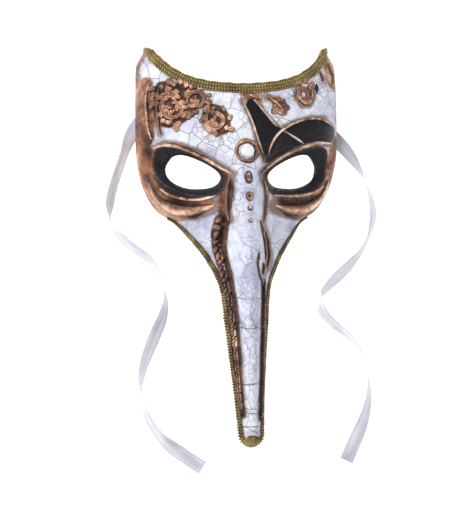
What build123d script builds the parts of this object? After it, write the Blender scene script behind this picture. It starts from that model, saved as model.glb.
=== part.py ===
from build123d import *
from math import asin, ceil, cos, exp, hypot, pi, radians, sin, sqrt, tan
import os

# Long-nosed Venetian half mask, lying on its back: +Z leaves the table, +Y is the
# forehead end, +X the wearer's left.  In node names left_ and right_ are as seen by someone
# facing the mask, so left_ is -X.  Millimetres.

# ---- driving dimensions ----
TOP_Y = 170.0             # tips of the horns
TIP_Y = -168.5            # end of the nose shell
TIP_RADIUS = 10.0         # rounding of the nose end in plan
WALL_FACE = 3.0           # papier-mache wall on the face
WALL_NOSE = 1.8           # and at the end of the nose
ARCH_POWER = 2.2          # squareness of the cross sections
SECTION_POINTS = 25
CUT_PAST_RIM = 8.0        # how far the hollow's cutter reaches below the rim
OUTER_PAST_TOP = 5.0      # how far the outer skin runs on past the horns before it is cut
INNER_PAST_TOP = 10.0
FIRST_ROW_BELOW_TOP = 7.0
LAST_ROW_BEFORE_TIP = 22.0
TIP_ANGLES = (22, 42, 58, 70, 79)   # of the rows round the nose end, in degrees
CUTTER_BOTTOM, CUTTER_HEIGHT = -5.0, 120.0
FOREHEAD_CUTTER = [(95, 180), (95, 195), (-95, 195), (-95, 180)]
TABLE_CUTTER = (220, 380, 20)

# cross sections: y, half width, rim height, ridge height, ridge bump height, bump half width
SECTIONS = [
    (170.0, 80.5, -0.6, 40.0, 0.0, 40.0),
    (155.0, 87.0, 0.2, 44.0, 0.0, 40.0),
    (138.0, 87.9, 2.6, 49.0, 1.0, 38.0),
    (110.0, 88.2, 4.2, 58.0, 4.0, 30.0),
    (83.0, 88.0, 4.2, 67.0, 12.0, 20.0),
    (60.0, 84.6, 2.5, 74.0, 21.0, 18.0),
    (42.0, 77.7, -0.2, 79.0, 29.0, 19.0),
    (29.5, 68.5, -0.8, 82.0, 36.0, 20.0),
    (21.5, 55.0, 5.0, 83.5, 39.0, 20.5),
    (9.0, 44.8, 21.0, 85.5, 42.0, 19.0),
    (-11.0, 31.2, 37.0, 87.0, 36.0, 16.5),
    (-37.0, 20.8, 47.5, 88.0, 30.0, 13.0),
    (-68.0, 17.8, 53.5, 88.5, 26.0, 11.5),
    (-98.0, 14.6, 59.5, 89.0, 18.0, 9.6),
    (-128.0, 12.0, 67.0, 88.5, 12.0, 8.2),
    (-168.5, 10.0, 77.0, 87.0, 3.0, 7.0),
]
HALF_WIDTH, RIM_Z, RIDGE_Z, BUMP_Z, BUMP_WIDTH = 1, 2, 3, 4, 5

# eye sockets: an oval hollow round each eye
SOCKET_X, SOCKET_Y = 43.0, 65.0
SOCKET_LONG, SOCKET_SHORT = 36.0, 20.0
SOCKET_TILT = radians(-12.0)
SOCKET_DEPTH = 9.0

# plan outlines: concave forehead edge (centre to horn tip) and one eye hole, mirrored for the other side
FOREHEAD_EDGE = [(0.0, 138.5), (22.0, 139.8), (44.0, 144.6), (60.0, 153.5), (70.0, 163.5), (76.0, 170.0)]
EYE_HOLE = [(66.0, 66.0), (61.0, 75.5), (52.0, 78.0), (38.5, 73.5), (25.0, 65.5),
            (20.5, 58.0), (27.5, 50.5), (46.0, 49.5), (60.0, 55.5)]

TOP_BRAID_WIDTH, NOSE_BRAID_WIDTH = 8.0, 6.0
NOSE_BRAID_INSET = 1.5    # from the rim to the braid's edge
BRAID_RISE = 1.8
SINK = 1.0                # how far the underside of a relief starts inside the wall
STEP = 4.0                # station spacing along a relief
TAPER_END = 0.35          # share of the full section left at a relief's end
BAND_ARC_POINTS = 9
TOP_BRAID_LAP = 0.4       # that the braid stands over the forehead edge
TOP_BRAID_PLAN, TOP_BRAID_STATIONS = 13, 45
NOSE_BRAID_TOP = 25.0     # y where the nose braids start at the cheeks
NOSE_BRAID_STATIONS = 44
NOSE_END_STATIONS = ((20, 0.66), (38, 0.62), (54, 0.55), (68, 0.42), (78, 0.12))
SPIRAL_POINTS = 11
SIDE_STEP = 0.004         # of the side value, for slopes and distances

# raised relief: centre line in plan, width, rise above the shell
RELIEFS = {
    "left_upper_lid": ([(-76, 84), (-67.5, 88), (-52.5, 85.5), (-35, 77), (-21, 68), (-12, 61.5)], 5.0, 2.8),
    "right_upper_lid": ([(13, 62), (21, 69), (34, 77), (49, 86), (66, 89), (79, 88)], 5.0, 2.8),
    "left_nose_line": ([(-13.5, 57), (-18, 47), (-17, 30), (-15.5, 22)], 3.6, 2.0),
    "right_nose_line": ([(14.5, 57), (18, 47), (16, 30), (13.5, 20)], 3.6, 2.0),
    "left_lower_lid": ([(-70, 50), (-62, 43.5), (-50, 40), (-36, 39.5), (-25, 43)], 4.6, 2.4),
    "right_lower_lid": ([(25, 43), (38, 42), (51, 43), (63, 46), (72, 51)], 4.6, 2.4),
    "left_cheek_roll": ([(-78.5, 55), (-73.5, 42), (-64, 33.5), (-50, 29.5), (-37, 31), (-26, 35)], 8.0, 3.6),
    "right_cheek_roll": ([(27, 34.5), (38, 31), (51, 30.5), (64, 34.5), (73, 43), (78, 56)], 8.0, 3.6),
    "left_side_loop": ([(-78, 140), (-81, 131), (-81, 116), (-80, 103), (-77.5, 92)], 4.6, 2.0),
    "left_brow_line": ([(-70, 138), (-73.5, 126), (-73.5, 110), (-70, 96)], 3.4, 1.6),
    "panel_left_vein": ([(-2, 124), (3.5, 112.5), (8.5, 97), (11, 84.5), (16, 72)], 3.4, 1.8),
    "panel_long_vein": ([(19, 77), (22, 89), (31, 99), (45, 106), (59, 110), (73, 109), (80, 103)], 3.4, 2.0),
    "panel_upper_vein": ([(8, 125), (12.5, 120), (19, 110), (28, 101.5)], 3.4, 1.8),
    "panel_lower_vein": ([(34, 98), (43, 93.5), (52, 87.5)], 3.0, 1.6),
    "right_inner_scroll": ([(20, 127.5), (26, 124.5), (31, 119.5), (34, 115)], 4.0, 2.0),
    "right_outer_scroll": ([(48, 136), (47.5, 128), (52, 121.5), (58, 121.5), (61.5, 128), (61, 137)],
                           4.0, 2.2),
    "left_nose_rope": ([(-20.5, 22), (-22.5, 11), (-22.5, -2), (-19.5, -16), (-16.5, -30), (-13.8, -46),
                        (-12.4, -62), (-11, -86), (-9.6, -112), (-8, -142)], 4.0, 2.2),
    "right_nose_scroll": ([(13.5, 17), (18.5, 6), (21, -6), (19, -17), (14.5, -22.5)], 4.6, 2.4),
    "right_nose_rope": ([(13.2, -30), (13.4, -48), (12.2, -70), (11, -94), (9.8, -120), (8, -145)], 3.2, 1.8),
}
# curled scrolls: centre, first and last radius, start angle, turns, width, rise
SCROLLS = {
    "left_large_scroll": ((-59.0, 118.0), 12.0, 4.2, 70.0, 1.15, 4.6, 2.6),
    "left_middle_scroll": ((-40.0, 124.5), 8.6, 3.6, 200.0, -1.1, 4.2, 2.4),
    "left_small_scroll": ((-24.5, 107.5), 9.4, 3.8, 120.0, 1.05, 4.4, 2.4),
}
# studs on the centre line and the side diamond: x, y, half width, half length, rise
STUDS = {
    "boss_dome": (0.0, 80.5, 6.4, 6.4, 2.8),
    "oval_stud": (0.0, 58.3, 3.6, 6.0, 2.6),
    "ring_stud": (0.0, 42.0, 3.5, 4.4, 2.4),
    "small_stud": (0.0, 32.0, 2.4, 2.4, 1.9),
    "nose_stud": (0.0, 21.5, 2.0, 2.0, 1.7),
    "diamond_stud": (66.0, 135.5, 2.6, 5.0, 1.6),
}
BOSS_RING_RADIUS, BOSS_RING_TUBE = 8.7, 1.9

RIBBON_WIDTH = 12.0
RIBBON_THICKNESS = 0.5
RIBBON_Z = 0.3            # underside above the table
PATCH = (7.0, 15.0, 6.0)  # glue patch that holds a ribbon's root inside the rim
PATCH_CORNER = 2.0
# centre lines on the table from the glued root to the free end
LEFT_RIBBON = [(-79, 113), (-90, 103), (-101, 72), (-111, 42), (-111, 18), (-96, 3), (-75, -11), (-63, -33),
               (-63, -57), (-75, -83), (-86, -112), (-83, -142), (-68, -166), (-48, -181), (-31, -192)]
RIGHT_RIBBON = [(79, 102), (90, 91), (100, 80), (114, 56), (122, 30), (116, 3), (99, -18), (81, -34),
                (72.5, -44), (74, -57), (84, -68), (103, -83), (115, -108), (116, -136), (108, -163),
                (96, -188)]
ARC_SHARE = 0.45          # of the shorter run, taken by each arc

os.makedirs("parts", exist_ok=True)


def along(y, column):
    """A section value at y: a smooth curve through the table that never overshoots."""
    rows = SECTIONS
    if y >= rows[0][0]:
        return rows[0][column]
    if y <= rows[-1][0]:
        return rows[-1][column]
    i = next(k for k in range(len(rows) - 1) if rows[k + 1][0] <= y)

    def slope(k):
        if k in (0, len(rows) - 1):
            return 0.0
        before = (rows[k][column] - rows[k - 1][column]) / (rows[k][0] - rows[k - 1][0])
        after = (rows[k + 1][column] - rows[k][column]) / (rows[k + 1][0] - rows[k][0])
        return 0.0 if before * after <= 0 else 2 * before * after / (before + after)

    span = rows[i + 1][0] - rows[i][0]
    t = (y - rows[i][0]) / span
    start, end = rows[i][column], rows[i + 1][column]
    return (start * (2 * t**3 - 3 * t**2 + 1) + slope(i) * span * (t**3 - 2 * t**2 + t)
            + end * (3 * t**2 - 2 * t**3) + slope(i + 1) * span * (t**3 - t**2))


def tip_rounding(y):
    """1 along the nose, falling on a quarter circle to 0 at its end."""
    reach = TIP_Y + TIP_RADIUS - y
    return 1.0 if reach <= 0 else sqrt(max(0.0, 1.0 - (reach / TIP_RADIUS) ** 2))


def socket_depth(x, y):
    """How far the eye socket sinks below the smooth face at x, y."""
    dx, dy = abs(x) - SOCKET_X, y - SOCKET_Y
    u = (dx * cos(SOCKET_TILT) - dy * sin(SOCKET_TILT)) / SOCKET_LONG
    v = (dx * sin(SOCKET_TILT) + dy * cos(SOCKET_TILT)) / SOCKET_SHORT
    t = min(1.0, max(0.0, (1.12 - hypot(u, v)) / 0.5))
    return SOCKET_DEPTH * t * t * (3 - 2 * t)


def surface_point(side, y):
    """Outer surface: side runs from -1 at the left rim over the ridge to +1 at the right rim."""
    end = tip_rounding(y)
    half = along(y, HALF_WIDTH) * end
    x = half * sin(side * pi / 2)
    share = abs(x) / half
    arch = along(y, RIDGE_Z) - along(y, RIM_Z) - along(y, BUMP_Z)
    ridge = along(y, BUMP_Z) * exp(-((x / (along(y, BUMP_WIDTH) * max(end, 0.2))) ** 2)) * (1 - share**4)
    rise = arch * max(0.0, 1 - share**ARCH_POWER) ** (1 / ARCH_POWER) + ridge
    return Vector(x, y, along(y, RIM_Z) + end * rise - socket_depth(x, y))


def side_at(x, y):
    """The surface's side value above a plan position."""
    share = x / (along(y, HALF_WIDTH) * tip_rounding(y))
    return 2 / pi * asin(max(-1.0, min(1.0, share)))


def surface_normal(side, y):
    low, high = max(-1.0, side - SIDE_STEP), min(1.0, side + SIDE_STEP)
    across = surface_point(high, y) - surface_point(low, y)
    near, far = max(TIP_Y + 0.05, y - 0.3), min(TOP_Y, y + 0.3)
    lengthwise = surface_point(side, far) - surface_point(side, near)
    return across.cross(lengthwise).normalized()


def wall_at(y):
    share = (y - TIP_Y) / (TOP_Y - TIP_Y)
    return WALL_NOSE + (WALL_FACE - WALL_NOSE) * min(1.0, share * 1.6)


def section_points(y):
    """Points of the outer cross section at y, from the left rim over the ridge to the right rim."""
    return [surface_point(-1 + 2 * j / (SECTION_POINTS - 1), y) for j in range(SECTION_POINTS)]


def inner_points(y, wall):
    """The same section moved inwards by the wall, its ends carried straight down past the rim."""
    points = section_points(y)
    moved = []
    for j, point in enumerate(points):
        before, after = points[max(0, j - 1)], points[min(len(points) - 1, j + 1)]
        normal = Vector(-(after.Z - before.Z), 0, after.X - before.X).normalized()
        if j in (0, len(points) - 1):
            normal = Vector(point.X, 0, 0).normalized()
        moved.append(point - normal * wall)
    down = Vector(0, 0, CUT_PAST_RIM)
    return [moved[0] - down] + moved + [moved[-1] - down]


def loft_sections(sections):
    """A solid through closed sections, each a spline closed by a straight line."""
    wires = []
    for points in sections:
        count = len(points)
        spline = Edge.make_spline(points, parameters=[i / (count - 1) for i in range(count)])
        wires.append(Wire([spline, Edge.make_line(points[-1], points[0])]))
    return Solid.make_loft(wires)


def rounded_end(y_end, radius):
    """Rows over the rounded end of the nose, closer together towards its tip."""
    return [y_end + radius - radius * sin(radians(angle)) for angle in TIP_ANGLES]


def plan_prism(points, closing):
    """A tall upright solid over a plan outline: a spline through the points, closed by straight lines."""
    spline = Edge.make_spline([Vector(x, y, 0) for x, y in points], periodic=not closing)
    corners = [points[-1]] + closing + [points[0]] if closing else []
    lines = [Edge.make_line((*a, 0), (*b, 0)) for a, b in zip(corners, corners[1:])]
    prism = Solid.extrude(Face(Wire([spline] + lines)), Vector(0, 0, CUTTER_HEIGHT))
    return prism.moved(Location((0, 0, CUTTER_BOTTOM)))


def mirrored(points):
    return [(-x, y) for x, y in points]


def build_shell():
    """The shell: an outer skin solid less an inner one, then the forehead edge, eyes and rest faces cut."""
    rows = [TOP_Y + OUTER_PAST_TOP, TOP_Y - FIRST_ROW_BELOW_TOP, TIP_Y + LAST_ROW_BEFORE_TIP]
    rows += [TIP_Y + TIP_RADIUS] + [row[0] for row in SECTIONS[1:-1]]
    rows += [(a[0] + b[0]) / 2 for a, b in zip(SECTIONS[1:-2], SECTIONS[2:-1])]
    rows = sorted(rows, reverse=True)
    outer = loft_sections([section_points(y) for y in rows + rounded_end(TIP_Y, TIP_RADIUS)])
    inner = loft_sections([inner_points(y, wall_at(y)) for y in [TOP_Y + INNER_PAST_TOP] + rows[1:]])
    edge = mirrored(FOREHEAD_EDGE[:0:-1]) + FOREHEAD_EDGE
    above = plan_prism(edge, FOREHEAD_CUTTER)
    table = Box(*TABLE_CUTTER, align=(Align.CENTER, Align.CENTER, Align.MAX))
    shell = outer - inner - above - table
    for outline in (EYE_HOLE, mirrored(EYE_HOLE)):
        shell = shell - plan_prism(outline, [])
    return largest(shell), outer


def largest(shape):
    return max(shape.solids(), key=lambda solid: solid.volume)


def plan_stations(plan_points, count=None):
    """Surface stations along a plan centre line: position, normal and the distance share."""
    line = Edge.make_spline([Vector(x, y, 0) for x, y in plan_points])
    count = count or max(7, ceil(line.length / STEP) + 1)
    stations = []
    for i in range(count):
        at = line.position_at(i / (count - 1))
        side = side_at(at.X, at.Y)
        stations.append((surface_point(side, at.Y), surface_normal(side, at.Y)))
    return stations


def band(stations, width, rise, taper=True):
    """A raised band along stations: a flat-bottomed oval section, thinner towards tapered ends."""
    sections = []
    last = len(stations) - 1
    for i, (point, normal) in enumerate(stations):
        run = stations[min(last, i + 1)][0] - stations[max(0, i - 1)][0]
        across = run.cross(normal).normalized()
        up = across.cross(run).normalized()
        swell = sqrt(max(0.0, sin(pi * i / last))) if 0 < i < last else 0.0
        size = TAPER_END + (1 - TAPER_END) * swell if taper else 1.0
        arc = [pi * j / (BAND_ARC_POINTS - 1) for j in range(BAND_ARC_POINTS)]
        sections.append([point + across * (-cos(a) * width / 2 * size)
                         + up * (sin(a) * (rise * size + SINK) - SINK) for a in arc])
    return loft_sections(sections)


def trimmed(piece, skin, neighbours):
    """What of a relief lies outside the skin solid and clear of the relief already laid."""
    kept = largest(piece - skin)
    box = kept.bounding_box()
    for other in neighbours:
        near = other.bounding_box()
        apart = (box.min.X > near.max.X or near.min.X > box.max.X or box.min.Y > near.max.Y
                 or near.min.Y > box.max.Y or box.min.Z > near.max.Z or near.min.Z > box.max.Z)
        if not apart:
            kept = largest(kept - other)
    return kept


def top_braid_stations():
    """Along the forehead edge, half a braid width below it."""
    edge = Edge.make_spline([Vector(x, y, 0) for x, y in mirrored(FOREHEAD_EDGE[:0:-1]) + FOREHEAD_EDGE])
    plan = []
    for i in range(TOP_BRAID_PLAN):
        share = 0.01 + 0.98 * i / (TOP_BRAID_PLAN - 1)
        along_edge = edge.tangent_at(share)
        below = Vector(along_edge.Y, -along_edge.X, 0)
        at = edge.position_at(share) + below * (TOP_BRAID_WIDTH / 2 - TOP_BRAID_LAP)
        plan.append((at.X, at.Y))
    return plan_stations(plan, TOP_BRAID_STATIONS)


def inset_side(y, inset):
    """The side value whose distance from the rim, over the surface, is the inset."""
    side, travelled = 1.0, 0.0
    while travelled < inset and side > 0.3:
        travelled += (surface_point(side, y) - surface_point(side - SIDE_STEP, y)).length
        side -= SIDE_STEP
    return side


def nose_braid_stations(sign):
    """From the cheek along the rim of the nose and round to the middle of its end."""
    stations = []
    straight_end = TIP_Y + TIP_RADIUS
    for i in range(NOSE_BRAID_STATIONS):
        y = NOSE_BRAID_TOP + (straight_end - NOSE_BRAID_TOP) * i / (NOSE_BRAID_STATIONS - 1)
        side = inset_side(y, NOSE_BRAID_WIDTH / 2 + NOSE_BRAID_INSET) * sign
        stations.append((surface_point(side, y), surface_normal(side, y)))
    for angle, side in NOSE_END_STATIONS:
        y = straight_end - TIP_RADIUS * sin(radians(angle))
        stations.append((surface_point(side * sign, y), surface_normal(side * sign, y)))
    return stations


def spiral(centre, first, last, start, turns):
    """Plan points of a scroll that winds inwards."""
    points = []
    for i in range(SPIRAL_POINTS):
        share = i / (SPIRAL_POINTS - 1)
        angle = radians(start + 360 * turns * share)
        radius = first + (last - first) * share
        points.append((centre[0] + radius * cos(angle), centre[1] + radius * sin(angle)))
    return points


def on_surface(x, y, solid):
    """A solid set on the shell at a plan position, its +Z along the surface normal."""
    side = side_at(x, y)
    plane = Plane(surface_point(side, y), x_dir=(1, 0, 0), z_dir=surface_normal(side, y))
    return plane.location * solid


def route_line(points):
    """Straight runs joined by tangent arcs, each as large as its runs allow."""
    corners = [Vector(x, y, RIBBON_Z) for x, y in points]
    radii = []
    for before, corner, after in zip(corners, corners[1:], corners[2:]):
        into, out = corner - before, after - corner
        half_turn = radians(into.get_angle(out)) / 2
        radii.append(ARC_SHARE * min(into.length, out.length) / tan(half_turn))
    return FilletPolyline(*corners, radius=radii)


def build_ribbon(points):
    """A flat strip lying on the table along its route."""
    path = route_line(points)
    start = Plane(path.position_at(0), z_dir=path.tangent_at(0), x_dir=(0, 0, 1))
    section = start * Rectangle(RIBBON_THICKNESS, RIBBON_WIDTH, align=(Align.MIN, Align.CENTER))
    ribbon = sweep(section, path).solid()
    print("ribbon length", round(path.length, 1))
    return ribbon


def build_patch(root, shell, ribbon):
    """The glue patch over a ribbon's root, against the inside of the shell."""
    block = fillet(Box(*PATCH).edges().filter_by(Axis.Z), PATCH_CORNER)
    patch = Pos(root[0], root[1], RIBBON_Z + PATCH[2] / 2) * block
    return largest(patch - shell - ribbon)


def main():
    shell, skin = build_shell()
    pieces = {}

    def lay(name, piece):
        pieces[name] = trimmed(piece, skin, list(pieces.values()))

    lay("top_braid", band(top_braid_stations(), TOP_BRAID_WIDTH, BRAID_RISE, taper=False))
    for name, sign in (("left_nose_braid", -1), ("right_nose_braid", 1)):
        lay(name, band(nose_braid_stations(sign), NOSE_BRAID_WIDTH, BRAID_RISE, taper=False))
    lay("boss_ring", on_surface(0, STUDS["boss_dome"][1], Torus(BOSS_RING_RADIUS, BOSS_RING_TUBE)))
    for name, (x, y, half_width, half_length, rise) in STUDS.items():
        lay(name, on_surface(x, y, scale(Sphere(1), by=(half_width, half_length, rise))))
    for name, (points, width, rise) in RELIEFS.items():
        lay(name, band(plan_stations(points), width, rise))
    for name, (centre, first, last, start, turns, width, rise) in SCROLLS.items():
        lay(name, band(plan_stations(spiral(centre, first, last, start, turns)), width, rise))
    for side, route in (("left", LEFT_RIBBON), ("right", RIGHT_RIBBON)):
        ribbon = build_ribbon(route)
        pieces[side + "_ribbon"] = ribbon
        pieces[side + "_glue_patch"] = build_patch(route[0], shell, ribbon)
    pieces["mask_shell"] = shell
    for name, piece in pieces.items():
        export_step(piece, f"parts/{name}.step")


main()
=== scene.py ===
"""Long-nosed Venetian half mask: crackled papier-mache shell, copper relief, gold braid, satin ties."""
import math

import bmesh
import bpy
import numpy as np
from mathutils import Matrix, Vector, noise


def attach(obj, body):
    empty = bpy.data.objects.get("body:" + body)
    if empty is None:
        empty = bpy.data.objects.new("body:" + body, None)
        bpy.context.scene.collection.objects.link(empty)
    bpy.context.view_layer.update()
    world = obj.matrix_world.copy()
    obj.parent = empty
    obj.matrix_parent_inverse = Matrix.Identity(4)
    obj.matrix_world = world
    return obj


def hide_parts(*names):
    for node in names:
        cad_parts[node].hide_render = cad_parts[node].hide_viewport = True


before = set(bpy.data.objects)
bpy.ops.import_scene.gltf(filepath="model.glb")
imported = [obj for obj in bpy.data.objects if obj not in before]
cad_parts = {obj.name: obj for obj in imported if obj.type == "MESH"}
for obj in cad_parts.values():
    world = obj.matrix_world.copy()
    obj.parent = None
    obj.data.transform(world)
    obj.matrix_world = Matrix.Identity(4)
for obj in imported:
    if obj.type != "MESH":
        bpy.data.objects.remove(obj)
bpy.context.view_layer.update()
MM = 0.001
ROOT = "root"
bpy.context.scene.view_settings.view_transform = "Standard"

# ---------------------------------------------------------------- camera
CAMERA_DISTANCE = 2500 * MM
CAMERA_TILT = math.radians(8.5)      # leans towards -X from straight above
CAMERA_ROLL = math.radians(0.4)
CAMERA_TARGET = Vector((-1.9, -5.75, 0)) * MM
FRAME_HEIGHT = 440.2 * MM            # length of floor that fills the frame from bottom to top
SENSOR = 36.0


def add_camera():
    data = bpy.data.cameras.new("camera")
    data.sensor_width = SENSOR
    data.lens = SENSOR * CAMERA_DISTANCE / FRAME_HEIGHT
    camera = bpy.data.objects.new("camera", data)
    back = Vector((-math.sin(CAMERA_TILT), 0, math.cos(CAMERA_TILT)))
    right = Vector((math.cos(CAMERA_TILT), 0, math.sin(CAMERA_TILT)))
    up = Vector((0, 1, 0))
    rolled_right = right * math.cos(CAMERA_ROLL) - up * math.sin(CAMERA_ROLL)
    rolled_up = right * math.sin(CAMERA_ROLL) + up * math.cos(CAMERA_ROLL)
    turn = Matrix((rolled_right, rolled_up, back)).transposed()
    camera.matrix_world = Matrix.Translation(CAMERA_TARGET + back * CAMERA_DISTANCE) @ turn.to_4x4()
    bpy.context.scene.collection.objects.link(camera)
    bpy.context.scene.camera = camera


add_camera()


# ---------------------------------------------------------------- shader maths
def math_method(operation, flipped=False):
    """A method that puts a Math node after a field."""

    def method(self, *others):
        values = (*others, self) if flipped else (self, *others)
        return self.recipe.node("ShaderNodeMath", {"operation": operation}, dict(enumerate(values)))

    return method


class Field:
    """A shader socket that is added, multiplied and compared like a number."""

    def __init__(self, recipe, socket):
        self.recipe, self.socket = recipe, socket

    __add__ = __radd__ = math_method("ADD")
    __mul__ = __rmul__ = math_method("MULTIPLY")
    __sub__ = math_method("SUBTRACT")
    __rsub__ = math_method("SUBTRACT", flipped=True)
    high = math_method("MAXIMUM")
    low = math_method("MINIMUM")
    power = math_method("POWER")
    absolute = math_method("ABSOLUTE")
    sine = math_method("SINE")

    def step(self, start, end):
        """0 up to start, 1 from end, smooth between; start may be the larger one."""
        rising = float(start < end)
        ends = {1: min(start, end), 2: max(start, end), 3: 1.0 - rising, 4: rising}
        return self.recipe.node("ShaderNodeMapRange", {"interpolation_type": "SMOOTHSTEP"}, {0: self, **ends})


class Recipe:
    """A node material under construction, around one Principled shader."""

    def __init__(self, name, **constants):
        self.material = bpy.data.materials.new(name)
        self.material.use_nodes = True
        self.tree = self.material.node_tree
        self.shader = self.tree.nodes["Principled BSDF"]
        for socket, value in constants.items():
            self.shader.inputs[socket.replace("_", " ").title().replace("Ior", "IOR")].default_value = value

    def node(self, kind, settings=None, inputs=None, output=0):
        """One node: its settings first, then the values or links of its sockets."""
        node = self.tree.nodes.new(kind)
        for key, value in (settings or {}).items():
            if key == "stops":
                self._set_stops(node.color_ramp, value)
            else:
                setattr(node, key, value)
        for key, value in (inputs or {}).items():
            if isinstance(value, Field):
                self.tree.links.new(value.socket, node.inputs[key])
            else:
                node.inputs[key].default_value = value
        return Field(self, node.outputs[output])

    @staticmethod
    def _set_stops(ramp, stops):
        while len(ramp.elements) < len(stops):
            ramp.elements.new(0.5)
        for element, (place, colour) in zip(ramp.elements, stops):
            element.position = place
            element.color = (*colour, 1.0)

    def place(self):
        return self.node("ShaderNodeTexCoord", output="Object")

    def attribute(self, name):
        return self.node("ShaderNodeAttribute", {"attribute_name": name}, output="Fac")

    def noise(self, scale, detail=3.0, rough=0.55, at=None, output=0):
        inputs = {"Vector": at or self.place(), "Scale": scale, "Detail": detail, "Roughness": rough}
        return self.node("ShaderNodeTexNoise", None, inputs, output)

    def cells(self, scale, feature="F1", at=None, output=0):
        inputs = {"Vector": at or self.place(), "Scale": scale}
        return self.node("ShaderNodeTexVoronoi", {"feature": feature}, inputs, output)

    def vector(self, operation, *values):
        return self.node("ShaderNodeVectorMath", {"operation": operation}, dict(enumerate(values)))

    def stretch(self, at, by):
        return self.vector("MULTIPLY", at, by)

    def part(self, vector, axis):
        return self.node("ShaderNodeSeparateXYZ", None, {0: vector}, axis)

    def warp(self, scale, amount):
        """Object coordinates pushed about by noise."""
        at = self.place()
        shift = self.vector("SUBTRACT", self.noise(scale, 2.0, at=at, output="Color"), (0.5, 0.5, 0.5))
        return self.vector("ADD", at, self.stretch(shift, (amount,) * 3))

    def mix(self, first, second, share, blend="MIX"):
        first, second = ((*c, 1.0) if isinstance(c, tuple) else c for c in (first, second))
        settings = {"data_type": "RGBA", "blend_type": blend, "clamp_factor": True}
        return self.node("ShaderNodeMix", settings, {0: share, 6: first, 7: second}, 2)

    def ramp(self, share, *stops):
        return self.node("ShaderNodeValToRGB", {"stops": stops}, {0: share})

    def bump(self, height, distance, strength):
        inputs = {"Height": height, "Distance": distance, "Strength": strength}
        return self.node("ShaderNodeBump", None, inputs)

    def finish(self, **links):
        """Links fields to the shader's sockets and hands back the material."""
        for name, field in links.items():
            self.tree.links.new(field.socket, self.shader.inputs[name.replace("_", " ").title()])
        return self.material


# ---------------------------------------------------------------- mesh helpers
def add_mesh(name, points, faces, materials, smooth=True):
    mesh = bpy.data.meshes.new(name)
    mesh.from_pydata([tuple(p) for p in points], [], faces)
    for material in materials:
        mesh.materials.append(material)
    mesh.polygons.foreach_set("use_smooth", [smooth] * len(mesh.polygons))
    piece = bpy.data.objects.new(name, mesh)
    bpy.context.scene.collection.objects.link(piece)
    return piece


def set_attribute(piece, name, values):
    layer = piece.data.attributes.new(name, "FLOAT", "POINT")
    layer.data.foreach_set("value", np.asarray(values, dtype=np.float32))


def recalculated(piece, unwanted=None, merge=0.0):
    """Drops the unwanted points or merges the doubled ones, and turns every face outwards."""
    work = bmesh.new()
    work.from_mesh(piece.data)
    work.verts.ensure_lookup_table()
    if unwanted is not None:
        bmesh.ops.delete(work, geom=[work.verts[i] for i in np.nonzero(unwanted)[0]], context="VERTS")
    if merge:
        bmesh.ops.remove_doubles(work, verts=work.verts, dist=merge)
    bmesh.ops.recalc_face_normals(work, faces=work.faces)
    work.to_mesh(piece.data)
    work.free()


def hand_in(piece, slot, *nodes):
    """Gives the piece its body and hides the CAD nodes that it stands for. The slot is not used."""
    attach(piece, ROOT)
    if nodes:
        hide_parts(*nodes)


def grid_faces(rows, columns, first=0):
    """Quads between neighbouring rows of points, open on all sides."""
    corners = [first + i * columns + j for i in range(rows - 1) for j in range(columns - 1)]
    return [(a, a + 1, a + columns + 1, a + columns) for a in corners]


def tube_faces(rings, around, first=0):
    """Quads of a tube whose rings follow each other, and then one face over each end."""
    faces = []
    for i in range(rings - 1):
        for j in range(around):
            a, b = first + i * around + j, first + i * around + (j + 1) % around
            faces.append((a, b, b + around, a + around))
    last = first + (rings - 1) * around
    return faces + [tuple(reversed(range(first, first + around))), tuple(range(last, last + around))]


def smooth_through(stops):
    """A smooth function through (position, value) stops that never overshoots between them."""
    at, value = (np.array(column, float) for column in zip(*sorted(stops)))
    span = np.diff(at)
    slope = np.diff(value) / span
    product = slope[:-1] * slope[1:]
    total = np.where(product > 0, slope[:-1] + slope[1:], 1.0)
    tangent = np.concatenate(([0.0], np.where(product > 0, 2 * product / total, 0.0), [0.0]))

    def evaluate(x):
        x = np.clip(x, at[0], at[-1])
        i = np.clip(np.searchsorted(at, x, side="right") - 1, 0, len(span) - 1)
        t = (x - at[i]) / span[i]
        return (value[i] * (2 * t**3 - 3 * t**2 + 1) + tangent[i] * span[i] * (t**3 - 2 * t**2 + t)
                + value[i + 1] * (3 * t**2 - 2 * t**3) + tangent[i + 1] * span[i] * (t**3 - t**2))

    return evaluate


def curve_points(points, order=4):
    """Points along a smooth NURBS line with the given control points, without any bevel."""
    data = bpy.data.curves.new("line", "CURVE")
    data.dimensions = "3D"
    data.resolution_u = 24
    spline = data.splines.new("NURBS")
    spline.points.add(len(points) - 1)
    for knot, point in zip(spline.points, points):
        knot.co = (*point, 1.0)
    spline.order_u = order
    spline.use_endpoint_u = True
    line = bpy.data.objects.new("line", data)
    bpy.context.scene.collection.objects.link(line)
    mesh = bpy.data.meshes.new_from_object(line.evaluated_get(bpy.context.evaluated_depsgraph_get()))
    found = np.array([v.co[:] for v in mesh.vertices])
    bpy.data.objects.remove(line)
    bpy.data.curves.remove(data)
    bpy.data.meshes.remove(mesh)
    return found


def run_of(points):
    """How far along its line each point lies."""
    return np.concatenate(([0.0], np.cumsum(np.linalg.norm(np.diff(points, axis=0), axis=1))))


def points_at(places, points):
    """Rows of the line at the given distances along it."""
    run = run_of(points[:, :3])
    return np.stack([np.interp(places, run, points[:, k]) for k in range(points.shape[1])], axis=1)


def spaced(points, step):
    """The same line with points a step apart, its ends kept."""
    length = run_of(points)[-1]
    return points_at(np.linspace(0, length, max(8, int(round(length / step)) + 1)), points)


def unit(vectors):
    return vectors / np.maximum(np.linalg.norm(vectors, axis=-1, keepdims=True), 1e-12)


def ways(points, normals):
    """Directions ahead along a line and across it."""
    ahead = unit(np.gradient(points, axis=0))
    return ahead, unit(np.cross(ahead, normals))


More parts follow.
